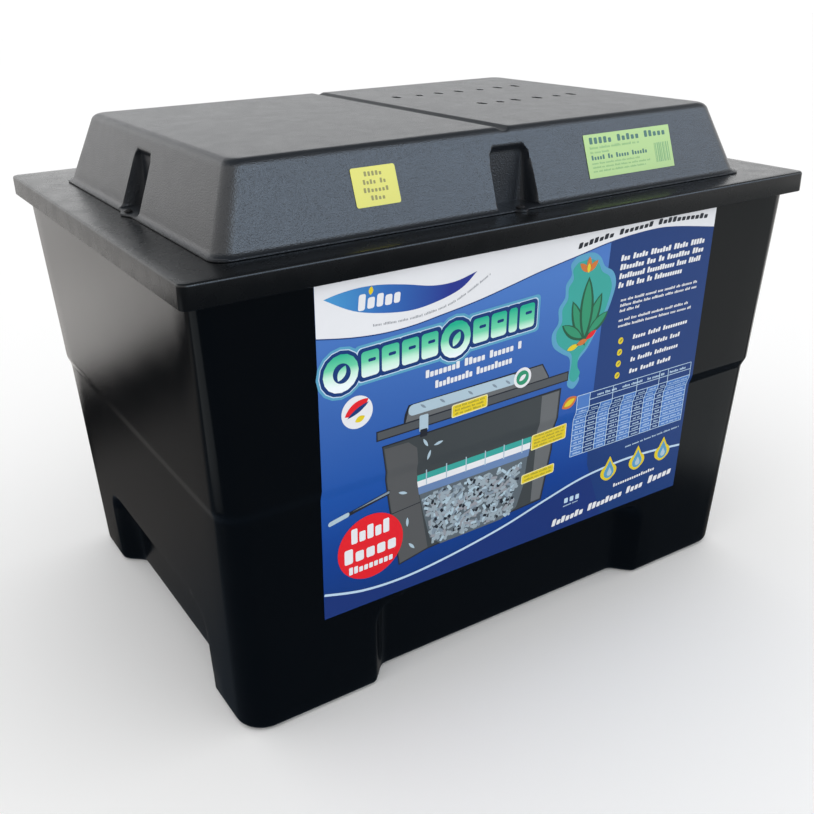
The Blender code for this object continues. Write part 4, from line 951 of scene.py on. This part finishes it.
def panel_text(art):
    """Blank lines, bullets and the table down the right-hand side."""
    for z, x1, words in ((0.4595, 0.244, (3, 5, 7, 5, 5)), (0.449, 0.244, (8, 3, 2, 8, 4)),
                         (0.4385, 0.241, (10, 11, 4, 5)), (0.428, 0.212, (2, 3, 3, 2, 11))):
        art.greek(WHITE_INK, 5, [(0.111, z), (x1, z + 0.0005)], 0.0068, 0.8, 0.15, words)
    for z, x1 in ((0.411, 0.243), (0.4045, 0.241), (0.398, 0.148), (0.3865, 0.23), (0.3795, 0.236)):
        art.greek(WHITE_INK, 5, [(0.117, z), (x1, z + 0.0003)], 0.0036, 0.7, 0.15)
    for z, x1, words in ((0.36, 0.233, (5, 5, 10)), (0.3455, 0.223, (7, 6, 4)), (0.331, 0.222, (2, 6, 10)),
                         (0.316, 0.212, (3, 5, 5))):
        art.greek(WHITE_INK, 5, [(0.143, z), (x1, z + 0.0015)], 0.0058, 0.76, 0.15, words)
        art.oval(YELLOW_INK, 5, (0.124, z + 0.002), 0.004, 0.0042, 14)
        art.shape(OLIVE_INK, 6, leaf((0.1245, z + 0.0022), 0.0064, 0.002, 40))
    x0, x1, z0, z1 = 0.064, 0.251, 0.224, 0.306
    art.block(NAVY, 2, ((x0 + x1) / 2, (z0 + z1) / 2), (x1 - x0, z1 - z0), 0.0004)
    columns = (0.0, 0.105, 0.2, 0.3, 0.4, 0.51, 0.61, 0.71, 0.79, 1.0)
    pitch = 0.0875
    rows = [0.0] + [pitch * row for row in range(1, 10)] + [0.89, 1.0]
    wide, tall = x1 - x0, z1 - z0
    for column in range(9):
        left, right = x0 + wide * columns[column], x0 + wide * columns[column + 1]
        if column % 2 == 0:
            high = z0 + tall * (rows[9] if column else 1.0)
            art.block(TABLE_INK, 3, ((left + right) / 2, (z0 + high) / 2), (right - left, high - z0), 0.0002)
        for row in range(9):
            z = z0 + tall * (rows[row] + 0.3 * pitch)
            art.greek(PALE_INK, 5, [(left + 0.004, z), (right - 0.0032, z)], 0.0026, 0.6)
    for number in range(10):
        high = z0 + tall * rows[9] if number in (2, 4, 6) else z1
        x = x0 + wide * columns[number]
        art.ribbon(PALE_INK, 4, [(x, z0), (x, high)], 0.0009)
    for number in range(12):
        first = x0 + wide * columns[1] if number == 10 else x0
        z = z0 + tall * rows[number]
        art.ribbon(PALE_INK, 4.5, [(first, z), (x1, z)], 0.0008)
    for left, right in ((0.095, 0.126), (0.135, 0.168), (0.176, 0.205), (0.214, 0.242)):
        art.greek(PALE_INK, 5, [(left, 0.2992), (right, 0.2992)], 0.0034, 0.66)
    art.greek(PALE_INK, 5, [(0.156, 0.21), (0.25, 0.2135)], 0.0028, 0.66)
    for x, z in ((0.132, 0.183), (0.18, 0.184), (0.225, 0.184)):
        art.oval(YELLOW_INK, 6, (x, z), 0.0135, 0.011, 24)
        art.shape(YELLOW_INK, 6.4, drop((x, z - 0.001), 0.0112))
        art.shape(WATER_INK, 7, drop((x + 0.0006, z - 0.001), 0.0082))
        art.shape(GLASS_INK, 8, drop((x + 0.0014, z - 0.0022), 0.004))
    art.greek(WHITE_INK, 5, [(0.143, 0.157), (0.215, 0.1605)], 0.005, 0.7, 0.0, (18,))
    art.greek(WHITE_INK, 5, [(0.045, 0.131), (0.197, 0.141)], 0.0098, 0.78, 0.2, (7, 8, 4))
    art.greek(WHITE_INK, 5, [(0.206, 0.142), (0.248, 0.1455)], 0.011, 0.78, 0.2, (5,))
    for x in (0.065, 0.074, 0.083):
        art.block(PALE_INK, 5, (x, 0.163), (0.0058, 0.007), 0.0012)
    art.greek(PALE_INK, 5, [(0.061, 0.1545), (0.086, 0.1555)], 0.0024, 0.66)


def guarantee_spot(art):
    """The red spot with three blank rows."""
    art.oval(RED_INK, 6, (-0.212, 0.1975), 0.0405, 0.04, 56)
    for start, end, tall, count in (((-0.237, 0.2075), (-0.188, 0.209), 0.0185, 5),
                                    ((-0.246, 0.1835), (-0.179, 0.1855), 0.0185, 5),
                                    ((-0.24, 0.169), (-0.184, 0.171), 0.0095, 9)):
        art.greek(WHITE_INK, 7, [start, end], tall, 0.76, 0.0, (count,))


def make_front_label():
    low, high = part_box("front_label")
    label_sheet("front_label_sheet", front_wall, ((low.x, low.z), (high.x, high.z)), LABEL_SHEET, LABEL_BLUE,
                "tank", "front_label")
    art = Artwork(front_wall, LABEL_SHEET)
    for draw in (band_and_panel, title, roundel, cutaway, emblem, panel_text, guarantee_spot):
        draw(art)
    art.make("front_label_print", "tank")


def sticker(name, paper, draw, rounding):
    """A small label on the front of the cover."""
    low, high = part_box(name)
    across = (low.x - COVER_CENTRE.x, high.x - COVER_CENTRE.x)
    label_sheet(name + "_sheet", cover_wall, ((across[0], low.z), (across[1], high.z)), STICKER_SHEET,
                paper, "cover", name, rounding)
    art = Artwork(cover_wall, STICKER_SHEET)
    draw(art, across, (low.z, high.z))
    art.make(name + "_print", "cover")


def caution_print(art, across, up):
    """Four blank rows down the middle."""
    wide, tall = across[1] - across[0], up[1] - up[0]
    for row, (first, last, words) in enumerate(((0.27, 0.69, (5,)), (0.22, 0.75, (4, 2)), (0.2, 0.78, (7,)),
                                                (0.33, 0.67, (4,)))):
        z = up[1] - tall * (0.235 + 0.205 * row)
        line = [(across[0] + wide * first, z), (across[0] + wide * last, z)]
        art.greek(OLIVE_INK, 1, line, tall * 0.125, 0.62, 0.0, words)


def rating_print(art, across, up):
    """Blank rows of several heights, and a strip of stripes at the right."""
    wide, tall = across[1] - across[0], up[1] - up[0]
    rows = ((0.05, 0.95, 0.775, 0.155, DARK_GREEN_INK, (5, 5, 5)), (0.05, 0.62, 0.66, 0.065, MOSS_INK, ()),
            (0.05, 0.26, 0.56, 0.055, MOSS_INK, ()), (0.05, 0.7, 0.41, 0.11, DARK_GREEN_INK, (5, 2, 5, 6)),
            (0.05, 0.6, 0.31, 0.05, MOSS_INK, ()), (0.05, 0.72, 0.22, 0.05, MOSS_INK, ()),
            (0.05, 0.66, 0.13, 0.05, MOSS_INK, ()))
    for first, last, height, size, ink, words in rows:
        z = up[0] + tall * height
        line = [(across[0] + wide * first, z), (across[0] + wide * last, z)]
        art.greek(ink, 1, line, tall * size, 0.66, 0.0, words)
    stripes = random.Random(3)
    x = across[0] + wide * 0.79
    while x < across[0] + wide * 0.955:
        width = stripes.choice((0.0008, 0.0014, 0.002))
        art.block(MOSS_INK, 1, (x + width / 2, up[0] + tall * 0.38), (width, tall * 0.46), 0.0002)
        x += width + stripes.choice((0.0008, 0.0014))


def make_stickers():
    sticker("caution_label", YELLOW_PAPER, caution_print, 0.0022)
    sticker("rating_label", GREEN_PAPER, rating_print, 0.0008)


# ---------------------------------------------------------------- foam, felt and loose media in the tank
def cellular(name, colour, shadow, cells, depth):
    """Open-cell foam: bright struts round pores darkened with painted shade, cells to the metre."""
    material = plastic(name, colour, 0.85, 1.35)
    nodes, link = material.node_tree.nodes, material.node_tree.links.new
    shader = nodes["Principled BSDF"]
    shader.inputs["Sheen Weight"].default_value = 0.15
    pores = shader_node(material, "TexVoronoi", Scale=cells)
    link(nodes["Texture Coordinate"].outputs["Object"], pores.inputs["Vector"])
    # painted shade: the shadow colour fills the middle of each cell, where the pores lie in shade
    link(blend_colours(material, pores.outputs["Distance"], shadow, colour), shader.inputs["Base Color"])
    bump = shader_node(material, "Bump", Distance=depth)
    link(pores.outputs["Distance"], bump.inputs["Height"])
    link(bump.outputs["Normal"], shader.inputs["Normal"])
    return material


# the second colour of each foam is the painted shade of its pores
GREEN_FOAM = cellular("green_foam", (0.04, 0.4, 0.28), (0.004, 0.07, 0.05), 380.0, 0.0012)
WHITE_FOAM = cellular("white_foam", (0.82, 0.83, 0.8), (0.3, 0.31, 0.3), 620.0, 0.0007)
BLUE_FELT = plastic("blue_felt", (0.11, 0.3, 0.62), 0.9, 1.35,
                    bumps=((90.0, 0.002, 2.0), (900.0, 0.0008, 4.0)), tint=(0.06, 0.2, 0.48))
MEDIA_GREY = plastic("media_grey", (0.23, 0.25, 0.27), 0.45, 1.45, bumps=((800.0, 0.0001, 2.0),),
                     tint=(0.17, 0.19, 0.205))


def grid_box(low, high, step, rounding, crown, seed):
    """A block of cut foam: rounded edges, a slight crown on top and a rough-cut skin."""
    middle, half = (low + high) / 2, (high - low) / 2
    lines = []
    for size in half:
        count = max(int((size - rounding) * 2 / step), 1)
        inner = [-(size - rounding) + (size - rounding) * 2 * index / count for index in range(count + 1)]
        lines.append([-size, *inner, size])
    skin = random.Random(seed)

    def build(working):
        made = {}

        def vert(i, j, k):
            if (i, j, k) not in made:
                point = Vector((lines[0][i], lines[1][j], lines[2][k]))
                core = Vector([min(max(p, -(h - rounding)), h - rounding) for p, h in zip(point, half)])
                point = core + (point - core).normalized() * (rounding - skin.uniform(0.0, 0.0004))
                if point.z > 0:
                    point.z += crown * (1 - (point.x / half.x) ** 2) * (1 - (point.y / half.y) ** 2)
                made[(i, j, k)] = working.verts.new(point + middle)
            return made[(i, j, k)]
        for axis in range(3):
            first, second = (axis + 1) % 3, (axis + 2) % 3
            for end in (0, len(lines[axis]) - 1):
                for a in range(len(lines[first]) - 1):
                    for b in range(len(lines[second]) - 1):
                        corners = []
                        for da, db in ((0, 0), (1, 0), (1, 1), (0, 1)):
                            at = [0, 0, 0]
                            at[axis], at[first], at[second] = end, a + da, b + db
                            corners.append(vert(*at))
                        working.faces.new(corners if end else corners[::-1])
    return mesh_of(build)


def make_soft_blocks():
    """Foam cartridges in two tiers, and the felt pad over the media."""
    clearance = Vector((0.0004, 0.0004, 0.0))
    rows = [(f"{tier}_foam_{number}", material, slot, 0.0035, 0.0009 if tier == "coarse" else 0.0)
            for tier, material, slot in (("coarse", GREEN_FOAM, "coarse_green_foam"),
                                         ("fine", WHITE_FOAM, "fine_white_foam")) for number in range(1, 7)]
    rows.append(("media_pad", BLUE_FELT, "blue_pad", 0.006, 0.001))
    for seed, (name, material, slot, rounding, crown) in enumerate(rows):
        low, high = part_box(name)
        mesh = grid_box(low + clearance, high - clearance, 0.012, rounding, crown, seed)
        block = add(name + "_block", mesh, material)
        block.data.shade_smooth()
        stand_in(block, name, "tank")


def round_ring(working, place, radii, z):
    """Vertices evenly spread round an axis, one for each radius."""
    turns = [2 * pi * side / len(radii) for side in range(len(radii))]
    return [working.verts.new(place @ Vector((r * cos(a), r * sin(a), z))) for r, a in zip(radii, turns)]


def tube_media(working, place, length=0.022, radius=0.0085, sides=10):
    """A short ribbed tube, open at both ends."""
    bands = 6
    rings = [(radius - 0.0011 * (band % 2), length * (band / bands - 0.5)) for band in range(bands + 1)]
    rings = [(radius - 0.0016, -length / 2), *rings, (radius - 0.0016, length / 2)]
    loops = [round_ring(working, place, [across] * sides, z) for across, z in rings]
    bridge(working, loops + loops[:1])


def make_media():
    """The bed of loose tubes: a lumpy core under a layer of separate tubes."""
    source = NODES["media_bed"].data
    source.calc_loop_triangles()
    corners = [vert.co.copy() for vert in source.vertices]
    triangles = [[corners[index] for index in triangle.vertices] for triangle in source.loop_triangles]
    normals = [triangle.normal.copy() for triangle in source.loop_triangles]
    areas = [triangle.area for triangle in source.loop_triangles]
    middle = sum(corners, Vector()) / len(corners)
    draw = random.Random(23)

    def build(working):
        core = [working.verts.new(middle + (corner - middle) * 0.9) for corner in corners]
        for polygon in source.polygons:
            working.faces.new([core[index] for index in polygon.vertices])
        for index in draw.choices(range(len(triangles)), areas, k=520):
            a, b, c = triangles[index]
            u, v = sorted((draw.random(), draw.random()))
            point = a * u + b * (v - u) + c * (1 - v) - normals[index] * 0.0145
            point += (middle - point).normalized() * 0.012
            turn = Vector((draw.gauss(0, 1), draw.gauss(0, 1), draw.gauss(0, 1))).to_track_quat("Z", "Y")
            tube_media(working, Matrix.Translation(point) @ turn.to_matrix().to_4x4())
    bed = add("media_tubes", mesh_of(build), MEDIA_GREY)
    bed.data.shade_smooth()
    bed.data.set_sharp_from_angle(angle=radians(35))
    stand_in(bed, "media_bed", "tank")


# ---------------------------------------------------------------- carried-over fittings
def metal(name, colour, roughness):
    material = plastic(name, colour, roughness, 1.45, bumps=((1200.0, 0.00004, 2.0),), specks=(300.0, 0.08))
    material.node_tree.nodes["Principled BSDF"].inputs["Metallic"].default_value = 1.0
    return material


def clear(name, colour, roughness, through):
    material = plastic(name, colour, roughness, 1.46, bumps=((60.0, 0.00002, 1.0),))
    material.node_tree.nodes["Principled BSDF"].inputs["Transmission Weight"].default_value = through
    return material


SLOT_LOOKS = {
    "black_shell": SHELL, "black_cover": GRAINED, "black_fitting": FITTING,
    "white_pvc": plastic("white_pvc", (0.8, 0.81, 0.79), 0.26, 1.5,
                         bumps=((14.0, 0.0004, 1.0), (500.0, 0.00003, 2.0)),
                         tint=(0.74, 0.76, 0.74), specks=(50.0, 0.06)),
    "grey_plastic": plastic("grey_plastic", (0.29, 0.3, 0.31), 0.42, 1.46,
                            bumps=((700.0, 0.00012, 2.0),), tint=(0.25, 0.262, 0.272)),
    "seal_rubber": plastic("seal_rubber", (0.018, 0.018, 0.018), 0.68, 1.5, bumps=((900.0, 0.0001, 3.0),)),
    "quartz": clear("clear_quartz", (0.95, 0.98, 1.0), 0.02, 1.0),
    "lamp_glass": clear("lamp_glass", (0.93, 0.95, 0.96), 0.06, 0.6),
    "zinc": metal("zinc_plate", (0.62, 0.62, 0.6), 0.34),
}


def finish_fittings():
    """Give every CAD node that still shows its slot's material, but the cover screws the black fitting
    plastic.
    """
    for row in frame["record"]["subparts"]:
        piece = NODES[row["node"]]
        if piece.hide_render:
            continue
        piece.data.materials.clear()
        dark = row["node"].startswith("cover_screw")
        piece.data.materials.append(FITTING if dark else SLOT_LOOKS[row["material_slot"]])


def union_nut(name, bore, lip, lip_length, groove):
    """A moulded nut with grip ribs round it, on the axis of the joint that turns it."""
    joint = next(row for row in frame["record"]["behaviour"]["joints"] if row["child"] == name)
    axis, origin = Vector(joint["axis"]).normalized(), Vector(joint["pos_m"])
    corners = [vert.co - origin for vert in NODES[name].data.vertices]
    along = [corner.dot(axis) for corner in corners]
    start, end = min(along), max(along)
    outer = max((corner - axis * t).length for corner, t in zip(corners, along))
    place = Matrix.Translation(origin) @ axis.to_track_quat("Z", "Y").to_matrix().to_4x4()
    sides, ribs = 144, 18
    profile = ((start, bore, 0), (start, outer - 0.002 - groove, 0), (start + 0.001, outer - 0.0005, 1),
               (start + 0.003, outer, 1), (end - 0.005, outer, 1), (end - 0.002, outer - 0.0008, 1),
               (end - 0.0005, outer - 0.001 - groove, 0), (end, outer - 0.002 - groove, 0), (end, lip, 0),
               (end - lip_length, lip, 0), (end - lip_length, bore, 0))

    def build(working):
        loops = []
        for z, radius, ribbed in profile:
            dips = [ribbed * groove * (1 - smooth(cos(2 * pi * side / sides * ribs), -0.6, 0.1))
                    for side in range(sides)]
            loops.append(round_ring(working, place, [radius - dip for dip in dips], z))
        bridge(working, loops + loops[:1])
    nut = add(name + "_ribbed", mesh_of(build), FITTING)
    nut.data.shade_smooth()
    nut.data.set_sharp_from_angle(angle=radians(40))
    stand_in(nut, name, name)


def round_outline(low, high, inset, radius, z, steps=6):
    """Points round a rectangle with round corners, anticlockwise seen from above."""
    middle, half = (low + high) / 2, (high - low) / 2
    ring = []
    for side_x, side_y, start in ((1, 1, 0), (-1, 1, 90), (-1, -1, 180), (1, -1, 270)):
        for step in range(steps + 1):
            angle = radians(start + 90 * step / steps)
            ring.append(Vector((middle.x + side_x * (half.x - inset - radius) + radius * cos(angle),
                                middle.y + side_y * (half.y - inset - radius) + radius * sin(angle), z)))
    return ring


def shave(source, name, stations, outer, *gaps):
    """A copy of a CAD node, cut back outside a skin of (height, inset, corner radius) stations."""
    low, high = outer
    beyond = Vector((0.001, 0.001, 0.002))
    floor, ceiling = Vector((0, 0, stations[0][0])), Vector((0, 0, stations[-1][0]))
    flat_low, flat_high = Vector((low.x, low.y, 0)), Vector((high.x, high.y, 0))
    tool = add(name + "_shaver", box(flat_low + floor - beyond, flat_high + ceiling + beyond))
    ends = [(stations[0][0] - 0.01, *stations[0][1:]), *stations, (stations[-1][0] + 0.01, *stations[-1][1:])]
    cut(tool, loft([round_outline(low, high, inset, radius, z) for z, inset, radius in ends]))
    for gap in gaps:
        cut(tool, gap)
    piece = add(name, NODES[source].data.copy())
    piece.data.materials.clear()
    cut(piece, tool.data)
    bpy.data.objects.remove(tool)
    return piece


def make_ballast_box():
    """The electrical box at the lamp end: foot flange, rim band and round corners, and a panelled lid."""
    low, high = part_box("head_lid")
    foot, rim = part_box("head_box")[0].z, low.z - GAP
    spigot_x, spigot_y = Vector((low.x, 0, 0)), Vector((0, COVER_CENTRE.y, UV_Z))
    reach = Vector((0.02, 0, 0))
    spigot = cylinder(0.031, spigot_x + spigot_y - reach, spigot_x + spigot_y + reach)
    walls = [(foot, 0.0002, 0.006), (foot + 0.0038, 0.0002, 0.006), (foot + 0.0048, 0.0012, 0.0045),
             (rim - 0.009, 0.001, 0.0045), (rim - 0.008, 0.0002, 0.006), (rim, 0.0002, 0.006)]
    case = shave("head_box", "ballast_case", walls, (low, high), spigot)
    edge = [(low.z, 0.0002, 0.006), (high.z - 0.0014, 0.0002, 0.006), (high.z - 0.0005, 0.0006, 0.0056),
            (high.z, 0.0014, 0.005)]
    top = shave("head_lid", "ballast_case_lid", edge, (low, high))
    groove = add("panel_groove", loft([round_outline(low, high, 0.0138, 0.004, z)
                                       for z in (high.z - 0.0009, high.z + 0.01)]))
    cut(groove, loft([round_outline(low, high, 0.0156, 0.003, z) for z in (low.z, high.z + 0.02)]))
    cut(top, groove.data)
    bpy.data.objects.remove(groove)
    for piece, name in ((case, "head_box"), (top, "head_lid")):
        settle(piece, 35)
        piece.data.materials.append(SLOT_LOOKS["grey_plastic"])
        stand_in(piece, name, "lid")


# ---------------------------------------------------------------- camera and light
CAMERA_PLACE = (-0.6524, -1.0527, 0.759)
CAMERA_RIGHT = Vector((0.841726, -0.539545, -0.019693))
CAMERA_UP = Vector((0.235451, 0.334006, 0.91269))
CAMERA_FORWARD = Vector((0.48586, 0.772872, -0.408178))
SENSOR_MM, LENS_MM = 36.0, 43.26


def make_camera():
    camera = bpy.data.cameras.new("camera")
    camera.sensor_width = SENSOR_MM
    camera.lens = LENS_MM
    camera.clip_start, camera.clip_end = 0.05, 60.0
    obj = bpy.data.objects.new("camera", camera)
    SCENE.collection.objects.link(obj)
    turn = Matrix((CAMERA_RIGHT, CAMERA_UP, -CAMERA_FORWARD)).transposed().to_4x4()
    obj.matrix_world = Matrix.Translation(CAMERA_PLACE) @ turn
    SCENE.camera = obj


# name, place, what it faces, length and width, radiance, colour
CARDS = (("corner_card", (-0.19, -2.48, 1.86), (-0.32, -0.25, 0.55), (1.0, 0.7), 7.0, (0.62, 0.8, 1.0)),
         ("front_card", (1.41, -2.37, 1.6), (-0.1, -0.24, 0.57), (2.6, 1.2), 3.0, (0.5, 0.74, 1.06)),
         ("low_card", (2.1, -1.6, -0.45), (0.3, -0.3, 0.3), (1.5, 1.3), 0.35, (0.95, 1.0, 1.0)),
         ("left_card", (-2.6, 0.1, -0.62), (-0.37, 0.0, 0.3), (1.7, 1.0), 0.3, (0.95, 1.0, 1.0)),
         ("right_card", (2.6, 0.55, -0.62), (0.37, 0.0, 0.3), (1.7, 1.0), 0.3, (0.95, 1.0, 1.0)))
# The studio seen in reflections. A direction's height is its dot product with CLIMB, plus a half.
CLIMB = (0.11, 0.13, 0.5)
# height, how bright it is there and how warm
REFLECTED = ((0.26, 0.055, 0.82), (0.33, 0.1, 1.04), (0.37, 0.09, 1.04), (0.392, 0.012, 1.0),
             (0.412, 0.012, 1.0), (0.4225, 0.72, 1.03), (0.45, 0.86, 1.03), (0.475, 0.74, 1.03),
             (0.52, 0.8, 1.02), (0.6, 1.15, 1.01), (0.66, 1.45, 1.0), (0.735, 1.5, 1.0), (0.75, 1.3, 1.0),
             (0.79, 1.35, 0.99), (0.83, 0.75, 0.97), (0.9, 0.28, 0.93))
LOWEST, HIGHEST = (0.028, 0.042, 0.062), (0.13, 0.15, 0.17)  # colours at heights 0 and 1
PAPER_GLOW = 1.12                                         # strength of the white that lights the scene


def card(name, place, target, size, radiance, colour):
    """A bright card that only shows in reflections."""
    light = bpy.data.lights.new(name, "AREA")
    light.shape = "RECTANGLE"
    light.size, light.size_y = size
    light.energy = radiance * pi * size[0] * size[1]
    light.color = colour
    obj = bpy.data.objects.new(name, light)
    SCENE.collection.objects.link(obj)
    aim = (Vector(target) - Vector(place)).to_track_quat("-Z", "Y").to_matrix().to_4x4()
    obj.matrix_world = Matrix.Translation(place) @ aim
    obj.visible_camera = False
    obj.visible_diffuse = False


def make_stage():
    def build(working):
        bmesh.ops.create_grid(working, x_segments=1, y_segments=1, size=14.0)
    floor = add("floor", mesh_of(build), plastic("floor_white", (0.92, 0.92, 0.92), 0.9))
    floor.location.z = -0.0002
    floor.visible_glossy = False
    floor.visible_shadow = False
    world = bpy.data.worlds.new("studio")
    SCENE.world = world
    world.use_nodes = True
    nodes, link = world.node_tree.nodes, world.node_tree.links.new
    white = nodes["Background"]
    white.inputs["Color"].default_value = (1.0, 1.0, 1.0, 1)
    white.inputs["Strength"].default_value = PAPER_GLOW
    seen = shader_node(world, "Background")
    height = distance_along(world, shader_node(world, "TexCoord").outputs["Generated"], CLIMB, 0.5)
    stops = [(place, (grey * warm, grey, grey / warm)) for place, grey, warm in REFLECTED]
    link(colour_ramp(world, height, [(0.0, LOWEST), *stops, (1.0, HIGHEST)]), seen.inputs["Color"])
    mix = shader_node(world, "MixShader")
    link(shader_node(world, "LightPath").outputs["Is Glossy Ray"], mix.inputs["Fac"])
    link(white.outputs["Background"], mix.inputs[1])
    link(seen.outputs["Background"], mix.inputs[2])
    link(mix.outputs["Shader"], nodes["World Output"].inputs["Surface"])
    for row in CARDS:
        card(*row)


SCENE.view_settings.view_transform = "Standard"
make_camera()
make_stage()
make_tank()
make_lid()
make_cover()
make_front_label()
make_stickers()
make_soft_blocks()
make_media()
union_nut("outlet_union_nut", 0.0271, 0.0238, 0.0035, 0.0022)
union_nut("inlet_union_nut", 0.0196, 0.0166, 0.0035, 0.0022)
union_nut("lock_collar", 0.0311, 0.0311, 0.003, 0.0012)
make_ballast_box()
finish_fittings()
